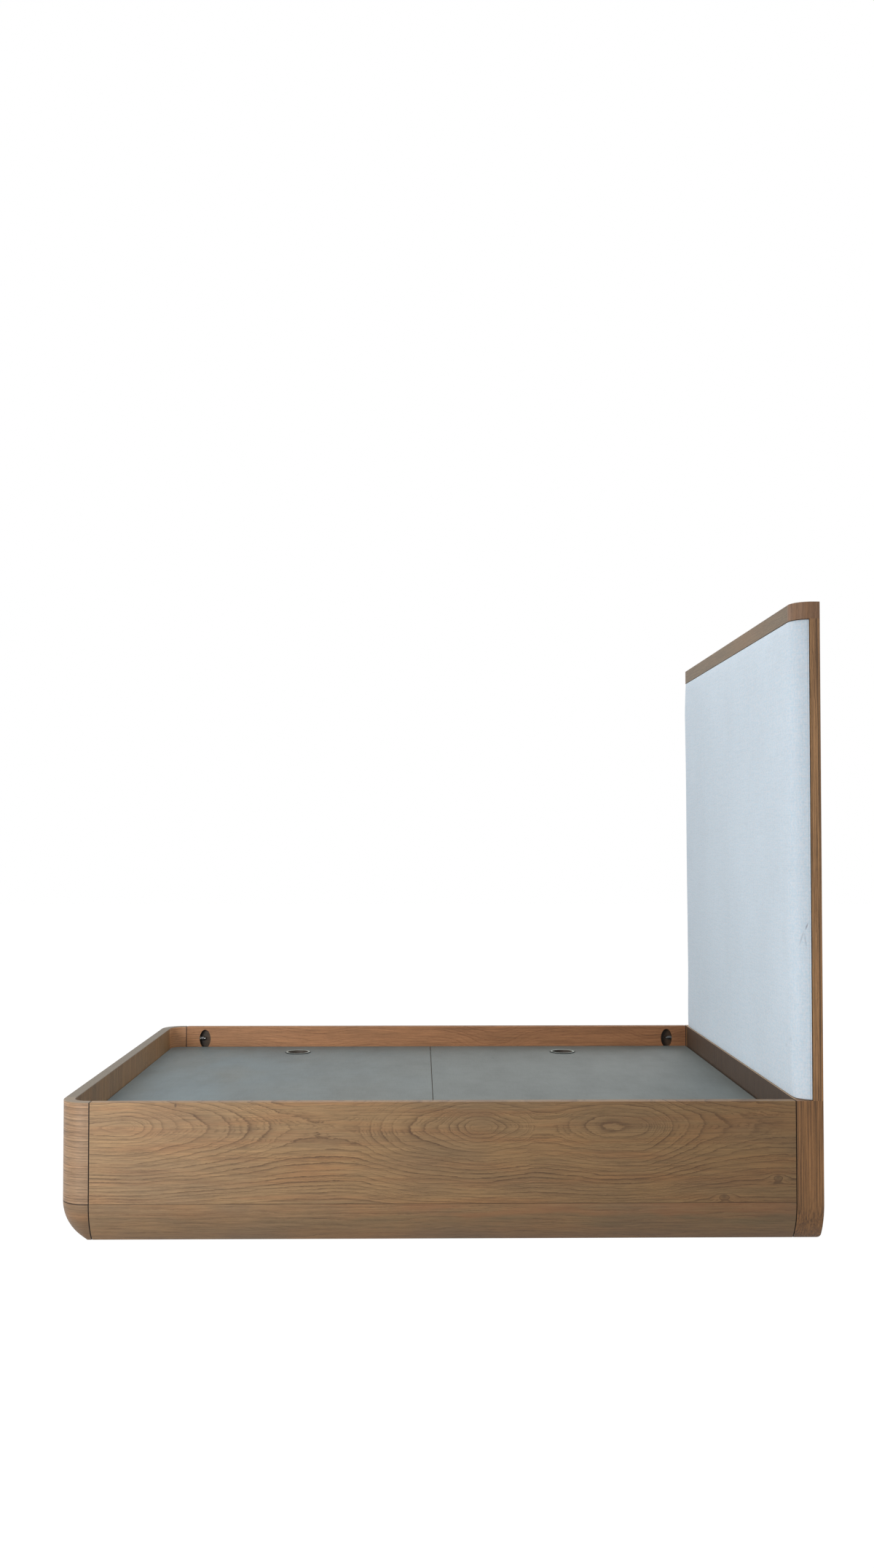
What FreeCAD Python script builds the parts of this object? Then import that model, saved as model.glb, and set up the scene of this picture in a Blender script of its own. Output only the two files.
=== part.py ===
import FreeCAD, Part
import math
import os

# Panel bed with two lift-off lids over a storage box and a tall padded headboard.
# Millimetres. X runs along the bed from foot to head, Y across it, Z up.
# The origin is on the floor, under the middle of the bed.
# "near" is the side towards -Y and "far" the side towards +Y.

# Room for the mattress
MATTRESS_LENGTH = 2000.0
MATTRESS_WIDTH = 1500.0
MATTRESS_PLAY_END = 8.0
MATTRESS_PLAY_SIDE = 5.0

# Board thicknesses and heights of the outer walls
SIDE_BOARD = 30.0
FOOT_BOARD = 32.0
HEAD_DEPTH = 72.0
RAIL_TOP = 387.0
BASE_HEIGHT = 108.0
EDGE_EASE = 1.2

# Rounded foot corners and the tucked-in base below the walls
CORNER_SPAN = 87.0
CORNER_RADIUS = 76.0
BASE_WIDTH = 85.0
FOOT_TUCK = 68.0
SIDE_TUCK = 43.0
SEAM_GAP = 2.0
CORNER_GROOVE = 1.0
RAIL_GROOVE = 0.5
GROOVE_DEPTH = 1.6

# Head legs and low section of the headboard
LEG_STEP = 4.0
LOW_PANEL_THICKNESS = 22.0
LOW_BACK_THICKNESS = 15.0
CROSS_RAIL_HEIGHT = 60.0
HEAD_BASE_STEP = 60.0
HEEL_RADIUS = 10.0

# Upper headboard
HEADBOARD_HEIGHT = 1780.0
TOP_RAIL_HEIGHT = 48.0
TOP_RAIL_OVERHANG = 3.0
TOP_CORNER_SPAN = 57.0
TOP_CORNER_RADIUS = 55.0
STILE_DEPTH = 27.0
STILE_WIDTH = 60.0
BACK_PANEL_THICKNESS = 12.0
BACK_PANEL_INSET = 3.0

# Padded panel: backing board, foam and cover
PAD_BOARD_THICKNESS = 15.0
PAD_FLANGE = 18.0
PAD_CLEARANCE = 0.6
PAD_BOARD_CLEARANCE = 2.0
PAD_END_SETBACK = 4.5
PAD_CROWN = 7.5
PAD_SIDE_DRAW = 1.6
PAD_CROWN_SHARES = ((0, 0), (0.05, 0), (0.28, 0.45), (0.85, 1), (1, 0.6))
PAD_CORNER_RADIUS = 58.0
PAD_EDGE_RADIUS = 3.0

# Lids, finger rings and what carries the lids
LID_DROP = 77.0
LID_THICKNESS = 18.0
LID_PLAY = 2.0
LID_HEAD_PLAY = 5.0
LID_SEAM = 2.0
LID_EASE = 0.8
RING_FROM_SIDE = 150.0
RING_OUTER_RADIUS = 48.0
RING_BORE_RADIUS = 38.0
RING_SLEEVE_WALL = 4.0
RING_SLEEVE_DEPTH = 12.0
RING_LIP = 3.0
RING_PLAY = 0.3
RING_EDGE = 1.6
LEDGE_WIDTH = 28.0
LEDGE_HEIGHT = 40.0
LEDGE_END_GAP = 15.0
PARTITION_THICKNESS = 30.0
SPINE_WIDTH = 30.0
SPINE_HEIGHT = 60.0

# Storage floor and its middle support
FLOOR_THICKNESS = 9.0
FLOOR_PLAY = 1.0
BEARER_WIDTH = 90.0
BEARER_HEIGHT = 60.0
CENTRE_FOOT_SIDE = 60.0
CENTRE_FOOT_PITCH = 345.0
CENTRE_FOOT_COUNT = 3

# Rail connectors: stud, washer and sleeve nut in an oval pocket
POCKET_FROM_CORNER = 73.0
POCKET_FROM_LEG = 77.0
POCKET_WIDTH = 43.4
POCKET_HEIGHT = 70.6
POCKET_BELOW_TOP = 47.0
POCKET_END_RADIUS = 15.5
POCKET_DEPTH = 24.5
STUD_RADIUS = 4.0
STUD_HOLD = 36.0
STUD_TAIL = 7.0
STUD_FIT = 0.05
STUD_BORE_RADIUS = 4.5
WASHER_RADIUS = 9.0
WASHER_THICKNESS = 2.0
WASHER_HOLE_RADIUS = 4.4
WASHER_SEAT_PLAY = 0.05
NUT_ACROSS_FLATS = 13.0
NUT_LENGTH = 12.0
NUT_SIDES = 6

# Dowels
DOWEL_RADIUS = 5.0
DOWEL_HOLD = 30.0
DOWEL_FIT = 0.05
DOWEL_END_PLAY = 1.0
LOW_DOWEL_LEVEL = 150.0
HIGH_DOWEL_LEVEL = 262.0

OVERRUN = 5.0
FULL_TURN = 360.0

# Sizes and places worked out from the values above
WELL_LENGTH = MATTRESS_LENGTH + 2 * MATTRESS_PLAY_END
WELL_WIDTH = MATTRESS_WIDTH + 2 * MATTRESS_PLAY_SIDE
LENGTH = FOOT_BOARD + WELL_LENGTH + HEAD_DEPTH
FOOT_X = -LENGTH / 2
WELL_FOOT_X = FOOT_X + FOOT_BOARD
WELL_HEAD_X = WELL_FOOT_X + WELL_LENGTH
BACK_X = LENGTH / 2
MIDDLE_X = (WELL_FOOT_X + WELL_HEAD_X) / 2
INNER_Y = WELL_WIDTH / 2
OUTER_Y = INNER_Y + SIDE_BOARD
BASE_Y = OUTER_Y - BASE_WIDTH
CORNER_X = FOOT_X + CORNER_SPAN
CORNER_Y = OUTER_Y - CORNER_SPAN
LEG_X = WELL_HEAD_X - LEG_STEP
RAIL_START_X = CORNER_X + SEAM_GAP / 2
RAIL_END_X = LEG_X - SEAM_GAP / 2
WELL_CORNER_RADIUS = CORNER_RADIUS - FOOT_BOARD
LID_TOP = RAIL_TOP - LID_DROP
LID_BOTTOM = LID_TOP - LID_THICKNESS
STILE_X = BACK_X - STILE_DEPTH
STILE_Y = OUTER_Y - STILE_WIDTH
TOP_RAIL_X = WELL_HEAD_X - TOP_RAIL_OVERHANG
TOP_RAIL_BOTTOM = HEADBOARD_HEIGHT - TOP_RAIL_HEIGHT
TOP_CORNER_Y = OUTER_Y - TOP_CORNER_SPAN
STUD_LEVEL = RAIL_TOP - POCKET_BELOW_TOP
STUD_Y = OUTER_Y - SIDE_BOARD / 2
NEAR = -1
FAR = 1


def vec(x, y, z=0):
    return FreeCAD.Vector(x, y, z)


def block(x_range, y_range, z_range):
    size = [high - low for low, high in (x_range, y_range, z_range)]
    return Part.makeBox(*size, vec(x_range[0], y_range[0], z_range[0]))


def line(start, end):
    return Part.makeLine(start, end)


def arc(start, middle, end):
    return Part.Arc(start, middle, end).toShape()


def quarter_arc(start, end, centre):
    middle = (start + end) / 2 - centre
    middle.normalize()
    return arc(start, centre + middle * (start - centre).Length, end)


def face_of(edges):
    return Part.Face(Part.Wire(Part.__sortEdges__(edges)))


def on_side(shape, side):
    """A piece is drawn on the near side, and mirrored for the far side."""
    return shape if side == NEAR else shape.mirror(vec(0, 0), vec(0, 1))


def both_sides(shape):
    return [on_side(shape, side) for side in (NEAR, FAR)]


def side_name(side):
    return "near" if side == NEAR else "far"


def eased(shape, level, size, kept=lambda point: True):
    """Chamfer the edges that lie at one level, such as a board's top edges."""
    edges = []
    for edge in shape.Edges:
        heights = [vertex.Point.z for vertex in edge.Vertexes]
        middle = edge.valueAt((edge.FirstParameter + edge.LastParameter) / 2)
        flat = all(abs(height - level) < size / 10 for height in heights + [middle.z])
        if flat and kept(middle):
            edges.append(edge)
    return shape.makeChamfer(size, edges)


def away_from_glue_line(point):
    return abs(abs(point.y) - CORNER_Y) > EDGE_EASE


# Curved base

def tuck_radius(tuck, height):
    return (height ** 2 + tuck ** 2) / (2 * tuck)


def tuck_at(tuck, height, level):
    """How far the curved face has drawn in at a level, from upright at its top."""
    radius = tuck_radius(tuck, height)
    return radius - math.sqrt(radius ** 2 - (height - level) ** 2)


def base_profile(tuck, groove, place):
    """Section of a curved base: place turns a depth and a level into a point."""
    top = BASE_HEIGHT - groove
    middle_level = top / 3
    shoulder = place(0, top)
    toe = place(tuck, 0)
    bend = arc(shoulder, place(tuck_at(tuck, top, middle_level), middle_level), toe)
    corners = [toe, place(BASE_WIDTH, 0), place(BASE_WIDTH, BASE_HEIGHT)]
    corners += [place(GROOVE_DEPTH, BASE_HEIGHT), place(GROOVE_DEPTH, top), shoulder]
    return face_of([bend] + [line(a, b) for a, b in zip(corners, corners[1:])])


def rail_base():
    def place(depth, level):
        return vec(RAIL_START_X, depth - OUTER_Y, level)
    return base_profile(SIDE_TUCK, RAIL_GROOVE, place).extrude(vec(RAIL_END_X - RAIL_START_X, 0))


def foot_base():
    def place(depth, level):
        return vec(FOOT_X + depth, -CORNER_Y, level)
    return base_profile(FOOT_TUCK, CORNER_GROOVE, place).extrude(vec(0, 2 * CORNER_Y))


def corner_outline(foot_tuck, side_tuck, level):
    """Plan of the corner base at one level: a quarter ellipse between two short arms."""
    centre = vec(FOOT_X + CORNER_RADIUS, CORNER_RADIUS - OUTER_Y, level)
    foot_end = vec(FOOT_X + foot_tuck, centre.y, level)
    side_end = vec(centre.x, side_tuck - OUTER_Y, level)
    seam_x = CORNER_X - SEAM_GAP / 2
    bend = Part.BezierCurve()
    bend.setPoles([foot_end, vec(foot_end.x, side_end.y, level), side_end])
    bend.setWeight(2, math.sqrt(0.5))
    corners = [side_end, vec(seam_x, side_end.y, level), vec(seam_x, -CORNER_Y, level)]
    corners += [vec(foot_end.x, -CORNER_Y, level), foot_end]
    return Part.Wire([bend.toShape()] + [line(a, b) for a, b in zip(corners, corners[1:])])


def corner_bases():
    top = BASE_HEIGHT - CORNER_GROOVE
    level_shares = (0, 0.07, 0.17, 0.31, 0.5, 0.74, 1)
    rings = []
    for share in level_shares:
        level = top * share
        foot_tuck = tuck_at(FOOT_TUCK, top, level)
        side_tuck = tuck_at(SIDE_TUCK, top, level)
        rings.append(corner_outline(foot_tuck, side_tuck, level))
    curved = Part.makeLoft(rings, True, False)
    neck_plan = Part.Face(corner_outline(GROOVE_DEPTH, GROOVE_DEPTH, top))
    neck = neck_plan.extrude(vec(0, 0, CORNER_GROOVE))
    return Part.makeCompound(both_sides(curved.fuse(neck)))


# Walls of the box

def corner_wall_plan():
    seam_x = CORNER_X - SEAM_GAP / 2
    outer_centre = vec(FOOT_X + CORNER_RADIUS, CORNER_RADIUS - OUTER_Y, BASE_HEIGHT)
    inner_centre = vec(WELL_FOOT_X + WELL_CORNER_RADIUS, WELL_CORNER_RADIUS - INNER_Y, BASE_HEIGHT)
    outer_foot = vec(FOOT_X, outer_centre.y, BASE_HEIGHT)
    outer_side = vec(outer_centre.x, -OUTER_Y, BASE_HEIGHT)
    inner_foot = vec(WELL_FOOT_X, inner_centre.y, BASE_HEIGHT)
    inner_side = vec(inner_centre.x, -INNER_Y, BASE_HEIGHT)
    seam = [outer_side, vec(seam_x, -OUTER_Y, BASE_HEIGHT)]
    seam += [vec(seam_x, -INNER_Y, BASE_HEIGHT), inner_side]
    glue_line = [inner_foot, vec(WELL_FOOT_X, -CORNER_Y, BASE_HEIGHT)]
    glue_line += [vec(FOOT_X, -CORNER_Y, BASE_HEIGHT), outer_foot]
    edges = [quarter_arc(outer_foot, outer_side, outer_centre)]
    edges.append(quarter_arc(inner_side, inner_foot, inner_centre))
    for run in (seam, glue_line):
        edges += [line(a, b) for a, b in zip(run, run[1:])]
    return face_of(edges)


def foot_corner():
    wall = corner_wall_plan().extrude(vec(0, 0, RAIL_TOP - BASE_HEIGHT))
    wall = eased(wall, RAIL_TOP, EDGE_EASE, away_from_glue_line)
    bores = [rod_along_x(CORNER_X - STUD_HOLD, CORNER_X, STUD_RADIUS + STUD_FIT, STUD_LEVEL)]
    return wall.cut(bores + dowel_bores(CORNER_X, -1))


def foot_board():
    board = block((FOOT_X, WELL_FOOT_X), (-CORNER_Y, CORNER_Y), (BASE_HEIGHT, RAIL_TOP))
    return eased(board, RAIL_TOP, EDGE_EASE, away_from_glue_line)


def side_rail():
    board = block((RAIL_START_X, RAIL_END_X), (-OUTER_Y, -INNER_Y), (BASE_HEIGHT, RAIL_TOP))
    board = eased(board, RAIL_TOP, EDGE_EASE)
    cuts = []
    for seam_x, inward, distance in RAIL_JOINTS:
        centre_x = seam_x + inward * distance
        cuts.append(pocket(centre_x))
        cuts.append(rod_along_x(seam_x, centre_x, STUD_BORE_RADIUS, STUD_LEVEL))
        cuts += dowel_bores(seam_x, inward)
    return board.cut(cuts)


def leg_profile():
    """Section across a head leg: upright above, with a wide foot under it."""
    start = LEG_X + SEAM_GAP / 2
    points = [(SIDE_TUCK, 0), (BASE_WIDTH, 0), (BASE_WIDTH, BASE_HEIGHT), (SIDE_BOARD, BASE_HEIGHT)]
    points += [(SIDE_BOARD, RAIL_TOP), (0, RAIL_TOP), (0, BASE_HEIGHT)]
    corners = [vec(start, depth - OUTER_Y, level) for depth, level in points]
    middle_level = BASE_HEIGHT / 3
    middle = vec(start, tuck_at(SIDE_TUCK, BASE_HEIGHT, middle_level) - OUTER_Y, middle_level)
    edges = [line(a, b) for a, b in zip(corners, corners[1:])]
    return face_of(edges + [arc(corners[-1], middle, corners[0])])


def heel_waste():
    """What the rounded heel takes off the lower back edge, from side to side."""
    centre_x = BACK_X - HEEL_RADIUS
    corner = block((centre_x, BACK_X + OVERRUN), (-OUTER_Y, OUTER_Y), (-OVERRUN, HEEL_RADIUS))
    heel = Part.makeCylinder(HEEL_RADIUS, 2 * OUTER_Y, vec(centre_x, -OUTER_Y, HEEL_RADIUS), vec(0, 1))
    return corner.cut(heel)


def head_leg():
    leg = leg_profile().extrude(vec(BACK_X - LEG_X - SEAM_GAP / 2, 0))
    bores = [rod_along_x(LEG_X, LEG_X + STUD_HOLD, STUD_RADIUS + STUD_FIT, STUD_LEVEL)]
    bores.append(stile_dowel_bore(RAIL_TOP))
    return leg.cut(bores + dowel_bores(LEG_X, 1) + [heel_waste()])


# Low section of the headboard

def low_panel():
    x_range = (WELL_HEAD_X, WELL_HEAD_X + LOW_PANEL_THICKNESS)
    panel = block(x_range, (-INNER_Y, INNER_Y), (BASE_HEIGHT, RAIL_TOP))
    return eased(panel, RAIL_TOP, EDGE_EASE, lambda point: point.x < WELL_HEAD_X + EDGE_EASE)


def cross_rail():
    x_range = (WELL_HEAD_X + LOW_PANEL_THICKNESS, BACK_X - LOW_BACK_THICKNESS)
    return block(x_range, (-INNER_Y, INNER_Y), (RAIL_TOP - CROSS_RAIL_HEIGHT, RAIL_TOP))


def low_back_panel():
    return block((BACK_X - LOW_BACK_THICKNESS, BACK_X), (-INNER_Y, INNER_Y), (BASE_HEIGHT, RAIL_TOP))


def head_base():
    base = block((WELL_HEAD_X - HEAD_BASE_STEP, BACK_X), (-BASE_Y, BASE_Y), (0, BASE_HEIGHT))
    return base.cut(heel_waste())


# Upper headboard

def stile():
    post = block((STILE_X, BACK_X), (-OUTER_Y, -STILE_Y), (RAIL_TOP, TOP_RAIL_BOTTOM))
    return post.cut([stile_dowel_bore(RAIL_TOP), stile_dowel_bore(TOP_RAIL_BOTTOM)])


def back_panel():
    back = BACK_X - BACK_PANEL_INSET
    return block((back - BACK_PANEL_THICKNESS, back), (-STILE_Y, STILE_Y), (RAIL_TOP, TOP_RAIL_BOTTOM))


def top_rail():
    y_range = (-TOP_CORNER_Y, TOP_CORNER_Y)
    rail = block((TOP_RAIL_X, BACK_X), y_range, (TOP_RAIL_BOTTOM, HEADBOARD_HEIGHT))
    y_limit = TOP_CORNER_Y - EDGE_EASE
    return eased(rail, HEADBOARD_HEIGHT, EDGE_EASE, lambda point: abs(point.y) < y_limit)


def top_corner():
    level = TOP_RAIL_BOTTOM
    front = vec(TOP_RAIL_X, TOP_CORNER_RADIUS - OUTER_Y, level)
    side = vec(TOP_RAIL_X + TOP_CORNER_RADIUS, -OUTER_Y, level)
    bend = quarter_arc(front, side, vec(side.x, front.y, level))
    corners = [side, vec(BACK_X, -OUTER_Y, level), vec(BACK_X, -TOP_CORNER_Y, level)]
    corners += [vec(TOP_RAIL_X, -TOP_CORNER_Y, level), front]
    plan = face_of([bend] + [line(a, b) for a, b in zip(corners, corners[1:])])
    body = plan.extrude(vec(0, 0, TOP_RAIL_HEIGHT))
    y_limit = -TOP_CORNER_Y - EDGE_EASE
    body = eased(body, HEADBOARD_HEIGHT, EDGE_EASE, lambda point: point.y < y_limit)
    return body.cut(stile_dowel_bore(TOP_RAIL_BOTTOM))


def pad_board():
    y_limit = OUTER_Y - PAD_FLANGE - PAD_BOARD_CLEARANCE
    play = PAD_CLEARANCE + PAD_BOARD_CLEARANCE
    z_range = (RAIL_TOP + play, TOP_RAIL_BOTTOM - play)
    return block((STILE_X - PAD_BOARD_THICKNESS, STILE_X), (-y_limit, y_limit), z_range)


def pad_outline(crown_share, level):
    """Plan of the pad at one level: a flat front between two rounded shoulders."""
    front_x = TOP_RAIL_X + PAD_END_SETBACK - PAD_CROWN * crown_share
    side_y = OUTER_Y - PAD_SIDE_DRAW * (2 - crown_share)
    rear_x = STILE_X - PAD_CLEARANCE
    centre_x = front_x + PAD_CORNER_RADIUS
    centre_y = side_y - PAD_CORNER_RADIUS
    rear_angle = math.acos((centre_x - rear_x) / PAD_CORNER_RADIUS)
    rings = []
    for side in (NEAR, FAR):
        points = []
        for share in (0, 0.5, 1):
            angle = rear_angle * share
            reach_y = centre_y + PAD_CORNER_RADIUS * math.sin(angle)
            points.append(vec(centre_x - PAD_CORNER_RADIUS * math.cos(angle), side * reach_y, level))
        rings.append(points)
    near, far = rings
    edges = [arc(near[2], near[1], near[0]), line(near[0], far[0]), arc(far[0], far[1], far[2])]
    return Part.Wire(edges + [line(far[2], near[2])])


def pad():
    bottom = RAIL_TOP + PAD_CLEARANCE
    top = TOP_RAIL_BOTTOM - PAD_CLEARANCE
    rings = []
    for share, crown in PAD_CROWN_SHARES:
        rings.append(pad_outline(crown, bottom + (top - bottom) * share))
    body = Part.makeLoft(rings, True, True)
    front_edges = []
    for edge in body.Edges:
        middle = edge.valueAt((edge.FirstParameter + edge.LastParameter) / 2)
        at_end = min(abs(middle.z - bottom), abs(middle.z - top)) < PAD_CLEARANCE
        if at_end and middle.x < STILE_X - PAD_BOARD_THICKNESS:
            front_edges.append(edge)
    body = body.makeFillet(PAD_EDGE_RADIUS, front_edges)
    y_limit = OUTER_Y - PAD_FLANGE
    x_range = (STILE_X - PAD_BOARD_THICKNESS - PAD_CLEARANCE, STILE_X + OVERRUN)
    z_range = (bottom + PAD_CLEARANCE, top - PAD_CLEARANCE)
    return body.cut(block(x_range, (-y_limit, y_limit), z_range))


# Lids and finger rings

def lid_ranges():
    foot = (WELL_FOOT_X + LID_PLAY, MIDDLE_X - LID_SEAM / 2)
    head = (MIDDLE_X + LID_SEAM / 2, WELL_HEAD_X - LID_HEAD_PLAY)
    return {"foot": foot, "head": head}


def rounded_corner_cutter(x_start, y_start, radius, z_range):
    """What is left of a square when a quarter disc is taken out of it, at the near foot corner."""
    x_range = (x_start - OVERRUN, x_start + radius)
    square = block(x_range, (-y_start - OVERRUN, radius - y_start), z_range)
    centre = vec(x_start + radius, radius - y_start, z_range[0])
    return square.cut(Part.makeCylinder(radius, z_range[1] - z_range[0], centre))


def ring_place(end):
    low, high = lid_ranges()[end]
    return (low + high) / 2, INNER_Y - RING_FROM_SIDE


def lid(end):
    y_limit = INNER_Y - LID_PLAY
    board = block(lid_ranges()[end], (-y_limit, y_limit), (LID_BOTTOM, LID_TOP))
    if end == "foot":
        z_range = (LID_BOTTOM - OVERRUN, LID_TOP + OVERRUN)
        radius = WELL_CORNER_RADIUS - LID_PLAY
        cutter = rounded_corner_cutter(WELL_FOOT_X + LID_PLAY, y_limit, radius, z_range)
        board = board.cut(both_sides(cutter))
    board = eased(board, LID_TOP, LID_EASE)
    x, y = ring_place(end)
    hole_radius = RING_BORE_RADIUS + RING_SLEEVE_WALL + RING_PLAY
    return board.cut(Part.makeCylinder(hole_radius, LID_THICKNESS, vec(x, y, LID_BOTTOM)))


def ring(end):
    """Finger ring: a sleeve through the lid, under a rim that rises towards its opening."""
    x, y = ring_place(end)
    sleeve_radius = RING_BORE_RADIUS + RING_SLEEVE_WALL
    sleeve_end = LID_TOP - RING_SLEEVE_DEPTH
    profile = [(RING_BORE_RADIUS, sleeve_end), (sleeve_radius, sleeve_end)]
    profile += [(sleeve_radius, LID_TOP), (RING_OUTER_RADIUS, LID_TOP)]
    profile += [(RING_OUTER_RADIUS, LID_TOP + RING_EDGE), (RING_BORE_RADIUS, LID_TOP + RING_LIP)]
    corners = [vec(x + radius, y, level) for radius, level in profile]
    corners.append(corners[0])
    section = Part.Face(Part.makePolygon(corners))
    return section.revolve(vec(x, y), vec(0, 0, 1), FULL_TURN)


# What carries the lids

def ledge(x_range, y_range):
    return block(x_range, y_range, (LID_BOTTOM - LEDGE_HEIGHT, LID_BOTTOM))


def side_ledge(end):
    half = PARTITION_THICKNESS / 2
    ranges = {
        "foot": (CORNER_X + LEDGE_END_GAP, MIDDLE_X - half),
        "head": (MIDDLE_X + half, LEG_X - LEDGE_END_GAP),
    }
    return ledge(ranges[end], (-INNER_Y, LEDGE_WIDTH - INNER_Y))


def end_ledge(x_start):
    y_limit = CORNER_Y - LEDGE_END_GAP
    return ledge((x_start, x_start + LEDGE_WIDTH), (-y_limit, y_limit))


def partition():
    half = PARTITION_THICKNESS / 2
    return block((MIDDLE_X - half, MIDDLE_X + half), (-INNER_Y, INNER_Y), (BASE_HEIGHT, LID_BOTTOM))


def spine(end):
    half = PARTITION_THICKNESS / 2
    ranges = {
        "foot": (WELL_FOOT_X + LEDGE_WIDTH, MIDDLE_X - half),
        "head": (MIDDLE_X + half, WELL_HEAD_X - LEDGE_WIDTH),
    }
    return block(ranges[end], (-SPINE_WIDTH / 2, SPINE_WIDTH / 2), (LID_BOTTOM - SPINE_HEIGHT, LID_BOTTOM))


# Storage floor

def storage_floor(end):
    half = PARTITION_THICKNESS / 2
    ranges = {
        "foot": (WELL_FOOT_X + FLOOR_PLAY, MIDDLE_X - half),
        "head": (MIDDLE_X + half, LEG_X - FLOOR_PLAY),
    }
    y_limit = INNER_Y - FLOOR_PLAY
    z_range = (BASE_HEIGHT, BASE_HEIGHT + FLOOR_THICKNESS)
    board = block(ranges[end], (-y_limit, y_limit), z_range)
    if end == "head":
        return board
    cut_range = (z_range[0] - OVERRUN, z_range[1] + OVERRUN)
    cutter = rounded_corner_cutter(WELL_FOOT_X + FLOOR_PLAY, y_limit, WELL_CORNER_RADIUS, cut_range)
    return board.cut(both_sides(cutter))


def partition_bearer():
    half = BEARER_WIDTH / 2
    z_range = (BASE_HEIGHT - BEARER_HEIGHT, BASE_HEIGHT)
    return block((MIDDLE_X - half, MIDDLE_X + half), (-BASE_Y, BASE_Y), z_range)


def centre_feet():
    half = CENTRE_FOOT_SIDE / 2
    feet = []
    for index in range(CENTRE_FOOT_COUNT):
        y = (index - (CENTRE_FOOT_COUNT - 1) / 2) * CENTRE_FOOT_PITCH
        x_range = (MIDDLE_X - half, MIDDLE_X + half)
        feet.append(block(x_range, (y - half, y + half), (0, BASE_HEIGHT - BEARER_HEIGHT)))
    return Part.makeCompound(feet)


# Connectors and dowels. Each rail joint is its seam, the way into the rail, and the pocket's distance.

RAIL_JOINTS = ((CORNER_X, 1, POCKET_FROM_CORNER), (LEG_X, -1, POCKET_FROM_LEG))


def rod_along_x(start, end, radius, level):
    low = min(start, end)
    return Part.makeCylinder(radius, abs(end - start), vec(low, -STUD_Y, level), vec(1, 0))


def pocket_side_radius():
    """Radius of the oval's long sides, which run on smoothly into its ends."""
    half_width = POCKET_WIDTH / 2
    end_centre = POCKET_HEIGHT / 2 - POCKET_END_RADIUS
    squares = half_width ** 2 + end_centre ** 2 - POCKET_END_RADIUS ** 2
    return squares / (2 * (half_width - POCKET_END_RADIUS))


def pocket(centre_x):
    """Oval pocket in the inner face of the near rail, drawn with four arcs."""
    centre = vec(centre_x, -INNER_Y + OVERRUN, STUD_LEVEL)
    half_width = POCKET_WIDTH / 2
    half_height = POCKET_HEIGHT / 2
    end_centre = half_height - POCKET_END_RADIUS
    toward_end = vec(pocket_side_radius() - half_width, 0, end_centre).normalize()
    join = toward_end * POCKET_END_RADIUS + vec(0, 0, end_centre)
    signs = ((1, 1), (-1, 1), (-1, -1), (1, -1))
    joins = [centre + vec(join.x * x_sign, 0, join.z * z_sign) for x_sign, z_sign in signs]
    middles = [vec(0, 0, half_height), vec(-half_width, 0), vec(0, 0, -half_height), vec(half_width, 0)]
    arcs = []
    for index, middle in enumerate(middles):
        arcs.append(arc(joins[index], centre + middle, joins[(index + 1) % len(joins)]))
    return face_of(arcs).extrude(vec(0, -OVERRUN - POCKET_DEPTH))


def washer_seat():
    """How far the curved pocket wall stands off a flat washer's middle."""
    radius = pocket_side_radius()
    return radius - math.sqrt(radius ** 2 - WASHER_RADIUS ** 2) + WASHER_SEAT_PLAY


def washer_start(joint):
    seam_x, inward, distance = joint
    return seam_x + inward * (distance - POCKET_WIDTH / 2 + washer_seat())


def stud(joint):
    seam_x, inward, distance = joint
    end = washer_start(joint) + inward * (WASHER_THICKNESS + NUT_LENGTH + STUD_TAIL)
    return rod_along_x(seam_x - inward * STUD_HOLD, end, STUD_RADIUS, STUD_LEVEL)


def washer(joint):
    start = washer_start(joint)
    end = start + joint[1] * WASHER_THICKNESS
    disc = rod_along_x(start, end, WASHER_RADIUS, STUD_LEVEL)
    return disc.cut(rod_along_x(start, end, WASHER_HOLE_RADIUS, STUD_LEVEL))


def nut(joint):
    inward = joint[1]
    start = washer_start(joint) + inward * WASHER_THICKNESS
    reach = NUT_ACROSS_FLATS / 2 / math.cos(math.pi / NUT_SIDES)
    corners = []
    for index in range(NUT_SIDES + 1):
        angle = 2 * math.pi * index / NUT_SIDES
        corners.append(vec(start, reach * math.cos(angle) - STUD_Y, reach * math.sin(angle) + STUD_LEVEL))
    body = Part.Face(Part.makePolygon(corners)).extrude(vec(inward * NUT_LENGTH, 0))
    return body.cut(rod_along_x(start, start + inward * NUT_LENGTH, STUD_RADIUS + STUD_FIT, STUD_LEVEL))


def dowel_pair(start, end, radius):
    return [rod_along_x(start, end, radius, level) for level in (LOW_DOWEL_LEVEL, HIGH_DOWEL_LEVEL)]


def dowel_bores(seam_x, inward):
    reach = seam_x + inward * (DOWEL_HOLD + DOWEL_END_PLAY)
    return dowel_pair(seam_x, reach, DOWEL_RADIUS + DOWEL_FIT)


def rail_dowels(joint):
    seam_x = joint[0]
    return dowel_pair(seam_x - DOWEL_HOLD, seam_x + DOWEL_HOLD, DOWEL_RADIUS)


def stile_dowel(level, radius, reach):
    return Part.makeCylinder(radius, 2 * reach, vec(STILE_X + STILE_DEPTH / 2, -STUD_Y, level - reach))


def stile_dowel_bore(level):
    return stile_dowel(level, DOWEL_RADIUS + DOWEL_FIT, DOWEL_HOLD + DOWEL_END_PLAY)


def near_and_far(shapes):
    solids = []
    for shape in shapes:
        solids += both_sides(shape)
    return Part.makeCompound(solids)


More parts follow.
